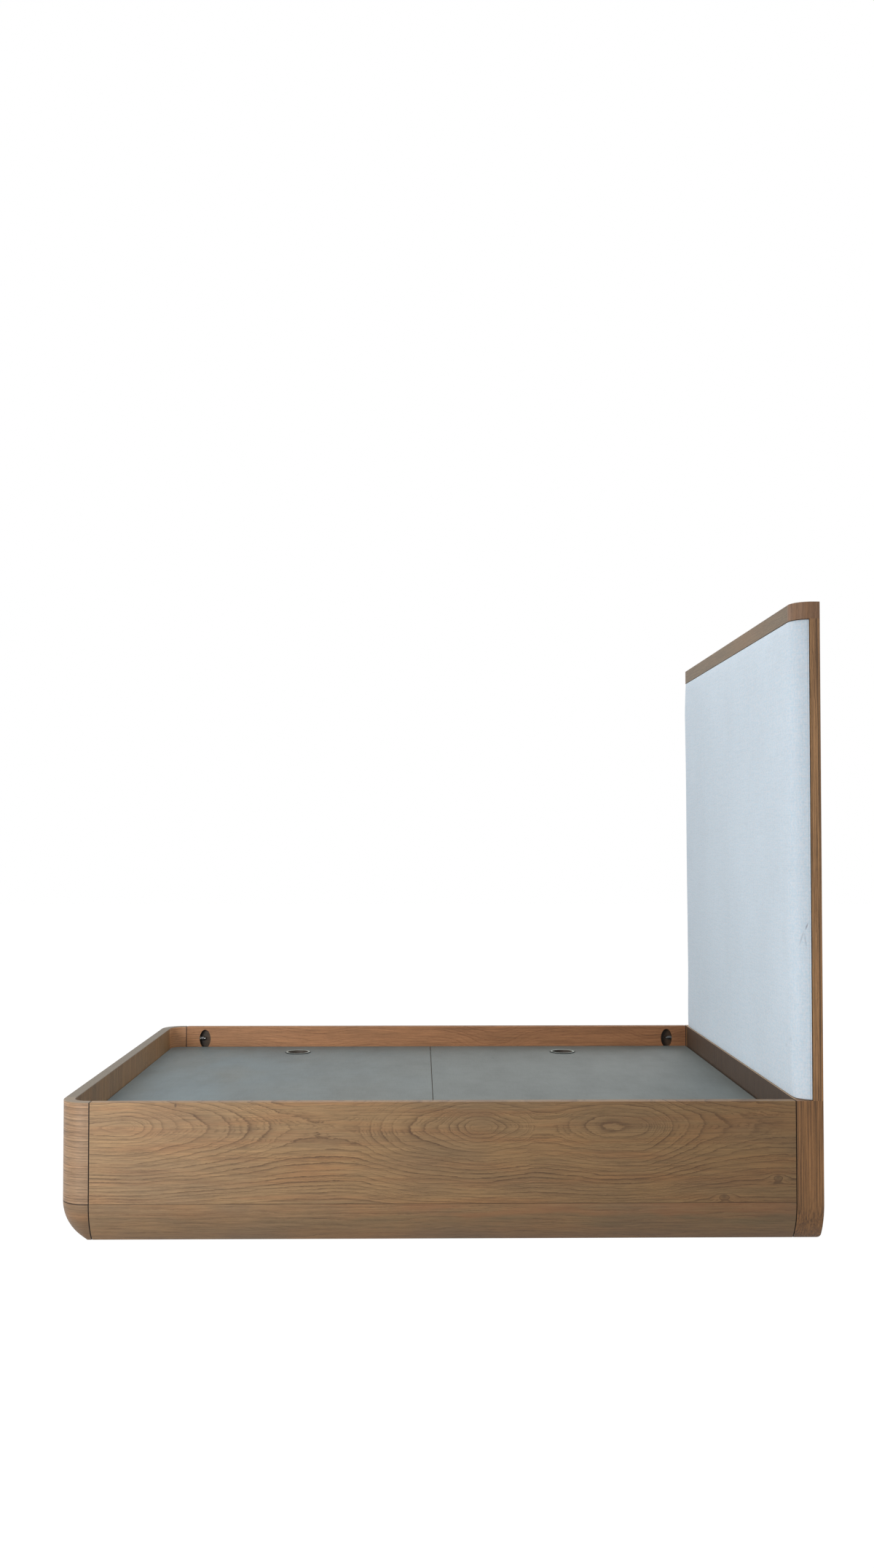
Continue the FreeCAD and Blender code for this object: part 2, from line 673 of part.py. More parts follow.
def build():
    nodes = {}
    for side in (NEAR, FAR):
        name = side_name(side)
        nodes["side_rail_" + name] = on_side(side_rail(), side)
        nodes["rail_base_" + name] = on_side(rail_base(), side)
        nodes["foot_corner_" + name] = on_side(foot_corner(), side)
        nodes["head_leg_" + name] = on_side(head_leg(), side)
        nodes["stile_" + name] = on_side(stile(), side)
        nodes["top_corner_" + name] = on_side(top_corner(), side)
        for end in ("foot", "head"):
            nodes["ledge_" + name + "_" + end] = on_side(side_ledge(end), side)
    for end in ("foot", "head"):
        nodes["lid_" + end] = lid(end)
        nodes["finger_ring_" + end] = ring(end)
        nodes["spine_" + end] = spine(end)
        nodes["storage_floor_" + end] = storage_floor(end)
    nodes["ledge_foot_end"] = end_ledge(WELL_FOOT_X)
    nodes["ledge_head_end"] = end_ledge(WELL_HEAD_X - LEDGE_WIDTH)
    nodes["foot_board"] = foot_board()
    nodes["foot_base"] = foot_base()
    nodes["corner_bases"] = corner_bases()
    nodes["low_panel"] = low_panel()
    nodes["cross_rail"] = cross_rail()
    nodes["low_back_panel"] = low_back_panel()
    nodes["head_base"] = head_base()
    nodes["back_panel"] = back_panel()
    nodes["top_rail"] = top_rail()
    nodes["pad_board"] = pad_board()
    nodes["headboard_pad"] = pad()
    nodes["partition"] = partition()
    nodes["partition_bearer"] = partition_bearer()
    nodes["centre_feet"] = centre_feet()
    nodes["rail_studs"] = near_and_far([stud(joint) for joint in RAIL_JOINTS])
    nodes["rail_washers"] = near_and_far([washer(joint) for joint in RAIL_JOINTS])
    nodes["rail_nuts"] = near_and_far([nut(joint) for joint in RAIL_JOINTS])
    nodes["rail_dowels"] = near_and_far([dowel for joint in RAIL_JOINTS for dowel in rail_dowels(joint)])
    levels = (RAIL_TOP, TOP_RAIL_BOTTOM)
    nodes["stile_dowels"] = near_and_far([stile_dowel(level, DOWEL_RADIUS, DOWEL_HOLD) for level in levels])
    return nodes


os.makedirs("parts", exist_ok=True)
for node_name, node_shape in build().items():
    node_shape.exportStep("parts/" + node_name + ".step")
    print(node_name, len(node_shape.Solids), node_shape.isValid(), round(node_shape.Volume))
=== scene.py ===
import math

import bpy
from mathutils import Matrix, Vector


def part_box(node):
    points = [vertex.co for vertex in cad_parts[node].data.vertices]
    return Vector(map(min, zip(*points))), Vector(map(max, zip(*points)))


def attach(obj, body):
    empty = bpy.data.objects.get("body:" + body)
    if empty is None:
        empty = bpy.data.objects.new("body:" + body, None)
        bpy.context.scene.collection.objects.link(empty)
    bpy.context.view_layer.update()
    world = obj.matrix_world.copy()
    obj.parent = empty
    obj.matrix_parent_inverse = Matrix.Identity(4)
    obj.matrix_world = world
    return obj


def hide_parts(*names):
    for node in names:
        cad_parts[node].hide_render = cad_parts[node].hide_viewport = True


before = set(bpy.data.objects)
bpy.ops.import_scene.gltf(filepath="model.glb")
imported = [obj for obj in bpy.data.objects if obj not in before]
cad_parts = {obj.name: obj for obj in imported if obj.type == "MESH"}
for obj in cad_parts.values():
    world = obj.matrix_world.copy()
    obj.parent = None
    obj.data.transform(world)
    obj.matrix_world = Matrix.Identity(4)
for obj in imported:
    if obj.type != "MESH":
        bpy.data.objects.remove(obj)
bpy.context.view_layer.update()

# Looks of the panel bed: oak veneer, grey lids, linen headboard, metal rings and connectors.
# Metres. X runs from foot to head, Y across the bed, Z up; the camera stands on the -Y side.

# Camera, fitted to edges in the photograph (lens and sensor in millimetres)
CAMERA_PLACE = (-0.0608, -4.5001, 1.0973)
CAMERA_TILT = math.radians(91.526)
CAMERA_TURN = math.radians(-0.733)
CAMERA_LENS = 30.68
CAMERA_SENSOR = 36.0
CAMERA_SHIFT = 0.0162

# Lamps: name, place, target, width and height, power in watts
LAMPS = (
    ("front", (-1.9, -2.6, 1.0), (-0.6, -0.785, 0.25), (1.1, 1.1), 63.0),
    ("foot", (-4.2, 1.8, 1.8), (0.98, 0.1, 0.9), (2.0, 2.0), 26.0),
    ("side", (1.6, -3.4, 2.6), (1.0, -0.785, 1.5), (1.2, 1.2), 5.5),
    ("top", (0.0, 0.2, 3.2), (0.0, 0.0, 0.3), (2.4, 2.4), 29.0),
    ("back", (2.6, 3.2, 2.0), (0.6, 0.3, 0.6), (1.6, 1.6), 25.0),
)

# White stage: the surround's light, the floor's tone for the bed and for the camera,
# and the glow that turns the floor white for the camera
SURROUND = 0.43
FLOOR_SIZE = 40
FLOOR_BOUNCE = 0.38
FLOOR_SEEN = 0.8
FLOOR_GLOW = 1.12
FLOOR_GLOW_SHARE = 0.86

# Headboard cushion: rounding of its ends and sides, its front before it leans, how far it
# leans out and comes back in under the top rail, and over what heights
CUSHION_EDGE = 0.003
CUSHION_SHOULDER = 0.057
CUSHION_FRONT_X = 0.9895
CUSHION_SIDE_PLAY = 0.0006
CUSHION_LEAN = 0.0070
CUSHION_LEAN_START = 0.04
CUSHION_LEAN_RISE = 1.03
CUSHION_TOP_RETURN = 0.0028
CUSHION_RETURN_HEIGHT = 0.135

# Its cloth: how far it may swell, the pressure inside, steps of time, rows and columns,
# and how far from the rear and from the ends it is held
CUSHION_SWELL = 0.0022
CUSHION_PRESSURE = 4.0
CUSHION_FRAMES = 20
CUSHION_ROWS = 110
CUSHION_COLUMNS = 124
CUSHION_HELD_REAR = 0.008
CUSHION_HELD_ENDS = 0.006

# Distance below which two places count as one
TOUCHING = 0.0001


# Small helpers

def paint(red, green, blue):
    """A colour as read on a screen, 0 to 255, as the linear colour that a shader takes."""
    linear = []
    for level in (red, green, blue):
        level = level / 255
        linear.append(level / 12.92 if level <= 0.04045 else ((level + 0.055) / 1.055) ** 2.4)
    return (*linear, 1.0)


def third_axis(along, across):
    """The axis through a board, from the two in its face."""
    return ({"X", "Y", "Z"} - {along, across}).pop()


def clear_selection():
    if bpy.context.mode != "OBJECT":
        bpy.ops.object.mode_set(mode="OBJECT")
    bpy.ops.object.select_all(action="DESELECT")
    bpy.context.view_layer.objects.active = None


def select_only(piece):
    clear_selection()
    piece.select_set(True)
    bpy.context.view_layer.objects.active = piece


class Finish:
    """A material and short ways to add nodes to it."""

    def __init__(self, name):
        self.material = bpy.data.materials.new(name)
        self.material.use_nodes = True
        self.tree = self.material.node_tree
        self.surface = self.tree.nodes["Principled BSDF"]

    def add(self, kind, inputs=None, **settings):
        made = self.tree.nodes.new(kind)
        for key, value in settings.items():
            setattr(made, key, value)
        for key, value in (inputs or {}).items():
            self.put(made.inputs[key], value)
        return made

    def put(self, socket, value):
        if isinstance(value, bpy.types.NodeSocket):
            self.tree.links.new(value, socket)
        else:
            socket.default_value = value

    def axes(self):
        place = self.add("ShaderNodeTexCoord")
        parted = self.add("ShaderNodeSeparateXYZ", {"Vector": place.outputs["Object"]})
        return {"X": parted.outputs[0], "Y": parted.outputs[1], "Z": parted.outputs[2]}

    def sum(self, operation, first, second=0.0, third=0.0):
        made = self.add("ShaderNodeMath", operation=operation)
        for socket, value in zip(made.inputs, (first, second, third)):
            self.put(socket, value)
        return made.outputs[0]

    def distance(self, value, place):
        """How far a value is from a place, to either side."""
        return self.sum("ABSOLUTE", self.sum("SUBTRACT", value, place))

    def length(self, first, second):
        """Length of a line with these two sides."""
        first = self.sum("MULTIPLY", first, first)
        second = self.sum("MULTIPLY", second, second)
        return self.sum("SQRT", self.sum("ADD", first, second))

    def noise(self, place, scales, shift=0.0, detail=2.0, roughness=0.5):
        """Noise at a place of three values, with a scale for each of them."""
        parts = [self.sum("MULTIPLY_ADD", value, scale, shift)
                 for value, scale in zip(place, scales)]
        point = self.add("ShaderNodeCombineXYZ", dict(enumerate(parts))).outputs[0]
        inputs = {"Vector": point, "Scale": 1.0, "Detail": detail, "Roughness": roughness}
        return self.add("ShaderNodeTexNoise", inputs).outputs[0]

    def noise_line(self, value, scale, detail, shift):
        """Noise along one value."""
        inputs = {"W": self.sum("ADD", value, shift), "Scale": scale, "Detail": detail}
        return self.add("ShaderNodeTexNoise", inputs, noise_dimensions="1D").outputs[0]

    def ramp(self, value, stops):
        """Grey levels by place: stops are (place, level)."""
        made = self.add("ShaderNodeValToRGB", {"Fac": value})
        elements = made.color_ramp.elements
        while len(elements) < len(stops):
            elements.new(0.5)
        for element, (place, level) in zip(elements, stops):
            element.position = place
            element.color = (level, level, level, 1)
        return made.outputs[0]

    def spread(self, value, low, high, out_low=0.0, out_high=1.0):
        """A straight change from out_low to out_high as value goes from low to high."""
        inputs = {0: value, 1: low, 2: high, 3: out_low, 4: out_high}
        return self.add("ShaderNodeMapRange", inputs).outputs[0]

    def blend(self, share, first, second, mode="MIX"):
        made = self.add("ShaderNodeMix", data_type="RGBA", blend_type=mode)
        self.put(made.inputs[0], share)
        self.put(made.inputs[6], first)
        self.put(made.inputs[7], second)
        return made.outputs[2]

    def shade(self, colour, value, stops):
        """A colour made darker or lighter by value: stops are (place, level)."""
        return self.blend(1.0, colour, self.ramp(value, stops), "MULTIPLY")

    def curve(self, value, points):
        """A smooth line through points of (0 to 1, 0 to 1)."""
        made = self.add("ShaderNodeFloatCurve", {"Value": value})
        line = made.mapping.curves[0]
        line.points[0].location = points[0]
        line.points[-1].location = points[-1]
        for x, y in points[1:-1]:
            line.points.new(x, y)
        made.mapping.update()
        return made.outputs[0]

    def spot(self, axes, centre, reach):
        """1 at a place on the object, falling to 0 at reach (a radius for each axis, or None)."""
        total = None
        for axis, middle, radius in zip("XYZ", centre, reach):
            if radius is None:
                continue
            part = self.sum("DIVIDE", self.sum("SUBTRACT", axes[axis], middle), radius)
            part = self.sum("MULTIPLY", part, part)
            total = part if total is None else self.sum("ADD", total, part)
        return self.spread(self.sum("SQRT", total), 0.0, 1.0, 1.0, 0.0)

    def bump(self, height, strength, distance):
        inputs = {"Height": height, "Strength": strength, "Distance": distance}
        self.put(self.surface.inputs["Normal"], self.add("ShaderNodeBump", inputs).outputs[0])


# Oak veneer

OAK_LIGHT = paint(150, 120, 84)
OAK_LINE = paint(83, 58, 37)
OAK_WARM = paint(146, 104, 68)
OAK_GREY = paint(106, 91, 73)
OAK_PORE_AND_SEAM_SHADE = paint(64, 45, 29)
OAK_KNOT = paint(70, 52, 38)
OAK_GAP_SHADE = paint(36, 26, 18)
OAK_CORNER = paint(139, 113, 87)

# Noise scales along, across and through a board
TREE_BEND = (2.3, 7.0, 7.0)
RING_RAGS = (46.0, 210.0, 210.0)
RING_WAVES = (9.0, 34.0, 34.0)
RING_FADE = (5.0, 17.0, 17.0)
FINE_RING_GAPS = (7.0, 60.0, 60.0)
PORES = (70.0, 1500.0, 1500.0)
FIBRES = (24.0, 560.0, 560.0)
WARM_STREAKS = (2.6, 36.0, 36.0)
GREY_PATCHES = (3.2, 8.5, 8.5)

# Darkness across a growth ring, and across the finer rings between (place, darkness)
RING_SHADE = ((0, 0.95), (0.07, 0.90), (0.16, 0.40), (0.45, 0.12), (0.94, 0.04), (1, 0.95))
FINE_RING_SHADE = ((0, 0.50), (0.14, 0.42), (0.35, 0.06), (0.9, 0.0), (1, 0.50))
FINE_RINGS = 3.0

# How many rings' widths the rags, the waves, the uneven growth and a knot move the rings
RAGS_MOVE = 0.42
WAVES_MOVE = 0.9
UNEVEN_MOVE = 1.6
KNOT_MOVE = 2.2

# Depth of the tree's middle behind the near rail's face, along the rail
NEAR_RAIL_DEPTHS = (
    (-0.975, 0.018), (-0.926, 0.012), (-0.885, 0.004), (-0.845, 0.014), (-0.767, 0.043),
    (-0.725, 0.054), (-0.676, 0.065), (-0.626, 0.076), (-0.588, 0.085), (-0.503, 0.101),
    (-0.396, 0.115), (-0.272, 0.117), (-0.180, 0.100), (-0.113, 0.078), (-0.042, 0.060),
    (0.004, 0.048), (0.038, 0.034), (0.070, 0.020), (0.108, 0.006), (0.146, 0.020),
    (0.170, 0.030), (0.235, 0.048), (0.270, 0.058), (0.365, 0.048), (0.425, 0.036),
    (0.472, 0.030), (0.536, 0.034), (0.600, 0.055), (0.680, 0.084), (0.780, 0.104),
    (0.880, 0.113), (0.985, 0.116),
)
DEPTH_SCALE = 0.125

# The near rail's knots, with the reach of the swirl round them and of their dark heart,
# and its calm stretch under the top edge and its dent (centre, reach)
NEAR_RAIL_KNOTS = ((0.932, 0, 0.177), (0.782, 0, 0.125))
KNOT_SWIRL = (0.050, None, 0.026)
KNOT_HEART = (0.013, None, 0.010)
NEAR_RAIL_CALM = ((-0.26, 0, 0.372), (0.20, None, 0.055))
NEAR_RAIL_DENT = ((-0.735, 0, 0.379), (0.004, None, 0.0065))

# Seam above the base and gaps at the ends of the side rails, both with painted shade, the heights
# between which the base's warm and grey bands begin, and the edge where the walls' tops begin,
# which take a painted sheen or, on the low panel, its own top edge tone
BASE_SEAM_Z = 0.108
SEAM_FADE = 0.0012
RAIL_FOOT_X = -0.973
RAIL_HEAD_X = 0.984
END_GAP_FADE = (0.0012, 0.0022)
WARM_BAND_Z = (0.066, 0.080)
GREY_BAND_Z = (0.040, 0.052)
WALL_TOP_Z = (0.3856, 0.3862)

# A warm stretch of the top rail (centre, reach)
TOP_RAIL_WARM = ((None, -0.22, None), (None, 0.30, None))

# Upright axis of the foot corners' curve (X, and Y to either side)
CORNER_AXIS = (-0.984, 0.709)

# The bed's outer faces at the far side and at the foot, where they begin
FAR_FACE_Y = (0.760, 0.764)
FOOT_FACE_X = (-1.0300, -1.0285)

# The far rail's oval pockets: centres, size of the shade round them, and depth in the rail
POCKETS_X = (-0.9, 0.902)
POCKET_Z = 0.340
POCKET_SHADE = (0.040, None, 0.056)
POCKET_MOUTH_Y = (0.7553, 0.7562)
POCKET_FLOOR_Y = (0.7815, 0.7825)


def round_corner(finish, axes):
    """Places round a foot corner: along its arc, and out from the corner's upright axis."""
    aside = finish.sum("ABSOLUTE", axes["Y"])
    along = finish.sum("MULTIPLY", finish.sum("ADD", aside, axes["X"]), -1.0)
    out_x = finish.sum("SUBTRACT", axes["X"], CORNER_AXIS[0])
    out_y = finish.sum("SUBTRACT", aside, CORNER_AXIS[1])
    return along, finish.length(out_x, out_y)


def tree_distance(finish, place, middle, depths, depth, swing, wander, seed):
    """Distance from the tree's middle, which wanders beside and behind the board's face."""
    u, v = place[:2]
    drift = finish.sum("SUBTRACT", finish.noise(place, TREE_BEND, seed), 0.5)
    drift = finish.sum("MULTIPLY", drift, wander * 3)
    beside = finish.sum("ADD", finish.sum("SUBTRACT", v, middle), drift)
    if depths:
        points = [(along / 2 + 0.5, behind / DEPTH_SCALE) for along, behind in depths]
        behind = finish.curve(finish.sum("MULTIPLY_ADD", u, 0.5, 0.5), points)
        behind = finish.sum("MULTIPLY", behind, DEPTH_SCALE)
    else:
        behind = finish.sum("SUBTRACT", finish.noise_line(u, 1.9, 1.0, seed), 0.5)
        behind = finish.sum("ABSOLUTE", finish.sum("MULTIPLY_ADD", behind, swing * 3, depth))
    return finish.length(beside, behind)


def ring_count(finish, axes, place, reach, spacing, knots, seed):
    """Growth rings counted from the tree's middle: ragged, wavy, uneven and bent round knots."""
    rags = finish.noise(place, RING_RAGS, seed, detail=3.0, roughness=0.65)
    rags = finish.sum("SUBTRACT", rags, 0.5)
    reach = finish.sum("MULTIPLY_ADD", rags, spacing * RAGS_MOVE, reach)
    waves = finish.sum("SUBTRACT", finish.noise(place, RING_WAVES, seed + 3), 0.5)
    reach = finish.sum("MULTIPLY_ADD", waves, spacing * WAVES_MOVE, reach)
    uneven = finish.noise_line(reach, 24.0, 2.0, seed)
    count = finish.sum("DIVIDE", reach, spacing)
    count = finish.sum("MULTIPLY_ADD", uneven, UNEVEN_MOVE, count)
    for knot in knots:
        swirl = finish.spot(axes, knot, KNOT_SWIRL)
        swirl = finish.sum("MULTIPLY", finish.sum("MULTIPLY", swirl, swirl), KNOT_MOVE)
        count = finish.sum("ADD", count, swirl)
    return count


def ring_lines(finish, axes, place, count, soft_from, calm, seed):
    """Dark lines of the growth rings, strong and faint, with finer ones between them."""
    rings = finish.ramp(finish.sum("FRACT", count), RING_SHADE)
    strength = finish.noise_line(finish.sum("FLOOR", count), 1.7, 0.0, seed)
    strength = finish.spread(strength, 0.30, 0.70, 0.45, 1.0)
    fade = finish.noise(place, RING_FADE, seed + 9, detail=1.0)
    fade = finish.spread(fade, 0.35, 0.62, 0.55, 1.0)
    if soft_from is not None:
        softer = finish.spread(place[0], soft_from, soft_from + 0.35, 1.0, 0.9)
        fade = finish.sum("MULTIPLY", fade, softer)
    if calm:
        calmer = finish.spread(finish.spot(axes, *calm), 0.0, 0.5, 1.0, 0.25)
        fade = finish.sum("MULTIPLY", fade, calmer)
    rings = finish.sum("MULTIPLY", rings, finish.sum("MULTIPLY", strength, fade))
    fine = finish.sum("FRACT", finish.sum("MULTIPLY", count, FINE_RINGS))
    fine = finish.ramp(fine, FINE_RING_SHADE)
    gaps = finish.noise(place, FINE_RING_GAPS, seed + 4, detail=1.0)
    fine = finish.sum("MULTIPLY", fine, finish.spread(gaps, 0.40, 0.62))
    return finish.sum("MAXIMUM", rings, fine)


def oak(name, along, across, middle, seed, depths=None, depth=0.12, swing=0.1, spacing=0.010,
        wander=0.010, light=OAK_LIGHT, outer_light=None, line=OAK_LINE, line_share=0.8,
        grey_share=0.35, warm_share=0.35, streak_share=1.0, streak_scale=240.0, streak_run=7.0,
        soft_from=None, calm=None, knots=(), far_end_shade=None, seam_shade_share=0.0, seam_shade_half=0.0008,
        end_gap_shades=(), top_sheen_and_edge=None, marks=None):
    """Flat-cut oak: rings round the tree's middle, cut by the board, with pores and patches.

    The grain runs along one axis, or "round" a foot corner. The tree's middle lies at a
    place on the axis across, and behind the face by depth, or by depths place for place;
    swing and wander say how much it moves. The shares are strengths.
    """
    finish = Finish(name)
    axes = finish.axes()
    if along == "round":
        u, w = round_corner(finish, axes)
    else:
        u, w = axes[along], axes[third_axis(along, across)]
    place = (u, axes[across], w)
    reach = tree_distance(finish, place, middle, depths, depth, swing, wander, seed)
    count = ring_count(finish, axes, place, reach, spacing, knots, seed)
    rings = ring_lines(finish, axes, place, count, soft_from, calm, seed)

    pores = finish.spread(finish.noise(place, PORES, seed, detail=1.0), 0.56, 0.70)
    pores = finish.sum("MULTIPLY", pores, finish.sum("MULTIPLY_ADD", rings, 0.75, 0.30))
    streak_scales = (streak_run, streak_scale, streak_scale)
    streaks = finish.noise(place, streak_scales, seed, detail=3.0, roughness=0.6)
    patches = finish.spread(finish.noise(place, GREY_PATCHES, seed + 5, detail=3.0), 0.38, 0.68)
    warm = finish.spread(finish.noise(place, WARM_STREAKS, seed + 7, detail=3.0), 0.45, 0.64)
    fibres = finish.noise(place, FIBRES, seed + 2)

    # Faces inside the far rail and far corner take light, a painted lighter, warmer tone for the
    # light they would get; their outer faces take outer_light
    if outer_light:
        outside = finish.sum("MAXIMUM", finish.spread(axes["Y"], *FAR_FACE_Y),
                             finish.spread(axes["X"], *FOOT_FACE_X, 1.0, 0.0))
        light = finish.blend(outside, light, outer_light)
    colour = finish.blend(finish.sum("MULTIPLY", warm, warm_share), light, OAK_WARM)
    colour = finish.blend(finish.sum("MULTIPLY", patches, grey_share), colour, OAK_GREY)
    colour = finish.blend(finish.sum("MULTIPLY", rings, line_share), colour, line)
    darker, lighter = 1 - 0.24 * streak_share, 1 + 0.18 * streak_share
    colour = finish.shade(colour, streaks, ((0.28, darker), (0.5, 1.0), (0.72, lighter)))
    colour = finish.shade(colour, fibres, ((0.30, 0.82), (0.5, 1.0), (0.70, 1.12)))
    colour = finish.blend(finish.sum("MULTIPLY", pores, 0.55), colour, OAK_PORE_AND_SEAM_SHADE)
    for knot in knots:
        heart = finish.spread(finish.spot(axes, knot, KNOT_HEART), 0.0, 0.9, 0.0, 0.62)
        colour = finish.blend(heart, colour, OAK_KNOT)
    # Painted shade: the board darkens towards its far end, standing in for the light falling off
    if far_end_shade:
        far_shaded = finish.blend(1.0, colour, far_end_shade, "MULTIPLY")
        colour = finish.blend(finish.spread(u, -1.0, 1.0), colour, far_shaded)
    # Painted shade along the seam groove above the base
    if seam_shade_share:
        beside = finish.distance(axes["Z"], BASE_SEAM_Z)
        shown = finish.spread(beside, seam_shade_half, seam_shade_half + SEAM_FADE, seam_shade_share, 0.0)
        colour = finish.blend(shown, colour, OAK_PORE_AND_SEAM_SHADE)
    # Painted shade in the gaps where the side rails meet the foot corners and the legs
    for end in end_gap_shades:
        beside = finish.distance(axes["X"], end)
        shown = finish.spread(beside, *END_GAP_FADE, 0.85, 0.0)
        colour = finish.blend(shown, colour, OAK_GAP_SHADE)
    # Painted sheen: greyer, darker tops on the foot board and corners; the low panel's own
    # lighter top edge
    if top_sheen_and_edge:
        colour = finish.blend(finish.spread(axes["Z"], *WALL_TOP_Z), colour, top_sheen_and_edge)
    if marks:
        colour = marks(finish, axes, colour)
    finish.put(finish.surface.inputs["Base Color"], colour)
    rough = finish.sum("MULTIPLY_ADD", pores, 0.20, 0.50)
    finish.put(finish.surface.inputs["Roughness"], rough)
    finish.surface.inputs["Specular IOR Level"].default_value = 0.42
    height = finish.sum("MULTIPLY_ADD", rings, -0.35, finish.sum("MULTIPLY", pores, -1.0))
    finish.bump(height, 0.35, 0.0005)
    return finish.material


def near_rail_mark(finish, axes, colour):
    """A small dent near the top edge of the near rail."""
    dent = finish.spread(finish.spot(axes, *NEAR_RAIL_DENT), 0.0, 0.5, 0.0, 0.7)
    return finish.blend(dent, colour, paint(62, 44, 30))


def base_bands(finish, axes, colour):
    """A warm upper and a grey lower band on the rail base, in patches, fainter at the foot."""
    place = (axes["X"], axes["Z"], axes["Y"])
    share = finish.noise(place, (5.0, 44.0, 10.0), 3.0, detail=3.0)
    share = finish.sum("MULTIPLY", finish.spread(share, 0.36, 0.62),
                       finish.spread(axes["X"], -0.55, 0.05, 0.2, 1.0))
    wave = finish.sum("SUBTRACT", finish.noise_line(axes["X"], 5.0, 2.0, 3.0), 0.5)
    level = finish.sum("MULTIPLY_ADD", wave, 0.030, axes["Z"])
    upper = finish.spread(level, *WARM_BAND_Z)
    warm = finish.sum("MULTIPLY", finish.sum("MULTIPLY", upper, share), 0.45)
    colour = finish.blend(warm, colour, paint(140, 96, 64))
    lower = finish.spread(level, *GREY_BAND_Z)
    grey = finish.sum("MULTIPLY", lower, finish.sum("SUBTRACT", 1.0, upper))
    grey = finish.sum("MULTIPLY", finish.sum("MULTIPLY", grey, share), 0.50)
    return finish.blend(grey, colour, paint(108, 94, 68))


def stipple(finish, axes, colour):
    """Short dashes of open pores on the top rail's quarter-cut veneer, and a warm stretch."""
    dashes = finish.noise((axes["Y"], axes["Z"], axes["X"]), (170.0, 420.0, 420.0), 31.0)
    colour = finish.shade(colour, dashes, ((0.34, 0.78), (0.5, 1.0), (0.66, 1.14)))
    warm = finish.sum("MULTIPLY", finish.spot(axes, *TOP_RAIL_WARM), 0.35)
    return finish.blend(warm, colour, paint(138, 102, 66))


def pocket_shade(finish, axes, colour):
    """Painted shade inside the far rail's two oval pockets, darkest on their foot side."""
    deep = finish.sum("MULTIPLY", finish.spread(axes["Y"], *POCKET_MOUTH_Y),
                      finish.spread(axes["Y"], *POCKET_FLOOR_Y, 1.0, 0.0))
    for centre_x in POCKETS_X:
        around = finish.spot(axes, (centre_x, 0, POCKET_Z), POCKET_SHADE)
        inside = finish.sum("MULTIPLY", finish.spread(around, 0.28, 0.34), deep)
        across = finish.spread(axes["X"], centre_x - 0.012, centre_x + 0.014, 0.95, 0.72)
        colour = finish.blend(finish.sum("MULTIPLY", inside, across), colour, paint(34, 26, 21))
    return colour


# Other finishes

# Width of a ring in softwood, rings in a plywood's face for one wave, thickness of a layer
PINE_RING = 0.0042
PLY_RINGS = 11.0
PLY_LAYER = 0.003

# Small dark mark on the head lid (centre, reach)
HEAD_LID_MARK = ((0.210, 0.460, 0), (0.0065, 0.0065, None))


def pine(name, along, across, seed):
    """Planed softwood: pale, with fine straight rings."""
    finish = Finish(name)
    axes = finish.axes()
    through = third_axis(along, across)
    place = (axes[along], axes[across], axes[through])
    drift = finish.noise(place, (2.0, 9.0, 9.0), seed)
    reach = finish.sum("ADD", axes[across], finish.sum("MULTIPLY", axes[through], 0.6))
    reach = finish.sum("MULTIPLY_ADD", drift, 0.022, reach)
    share = finish.sum("FRACT", finish.sum("DIVIDE", reach, PINE_RING))
    rings = finish.ramp(share, ((0, 0.1), (0.72, 0.45), (0.93, 1.0), (1, 0.1)))
    fibres = finish.noise(place, (14.0, 700.0, 700.0), seed)
    colour = finish.blend(finish.sum("MULTIPLY", rings, 0.5),
                          paint(226, 197, 153), paint(190, 146, 92))
    colour = finish.shade(colour, fibres, ((0.25, 0.86), (0.75, 1.08)))
    finish.put(finish.surface.inputs["Base Color"], colour)
    finish.surface.inputs["Roughness"].default_value = 0.68
    finish.bump(finish.sum("ADD", finish.sum("MULTIPLY", rings, 0.6), fibres), 0.25, 0.0004)
    return finish.material


def plywood(name, along, across, seed):
    """Sanded plywood: a broad face veneer, and its layers along the edges."""
    finish = Finish(name)
    axes = finish.axes()
    through = third_axis(along, across)
    place = (axes[along], axes[across], axes[through])
    waves = finish.noise(place, (1.4, 6.0, 6.0), seed)
    share = finish.sum("FRACT", finish.sum("MULTIPLY", waves, PLY_RINGS))
    figure = finish.ramp(share, ((0, 0.2), (0.5, 0.0), (0.9, 0.7), (1, 0.2)))
    fibres = finish.noise(place, (16.0, 520.0, 520.0), seed)
    colour = finish.blend(finish.sum("MULTIPLY", figure, 0.35),
                          paint(214, 186, 146), paint(182, 144, 98))
    colour = finish.shade(colour, fibres, ((0.25, 0.88), (0.75, 1.07)))
    layer = finish.sum("FRACT", finish.sum("DIVIDE", axes[through], PLY_LAYER))
    layer = finish.ramp(layer, ((0, 0.0), (0.48, 0.0), (0.52, 0.7), (0.97, 0.7), (1, 0.0)))
    facing = finish.add("ShaderNodeNewGeometry").outputs["Normal"]
    facing = finish.add("ShaderNodeSeparateXYZ", {"Vector": facing})
    facing = finish.sum("ABSOLUTE", facing.outputs["XYZ".index(through)])
    on_edge = finish.spread(facing, 0.4, 0.6, 1.0, 0.0)
    colour = finish.blend(finish.sum("MULTIPLY", layer, on_edge), colour, paint(140, 100, 62))
    finish.put(finish.surface.inputs["Base Color"], colour)
    finish.surface.inputs["Roughness"].default_value = 0.62
    finish.bump(fibres, 0.2, 0.0003)
    return finish.material


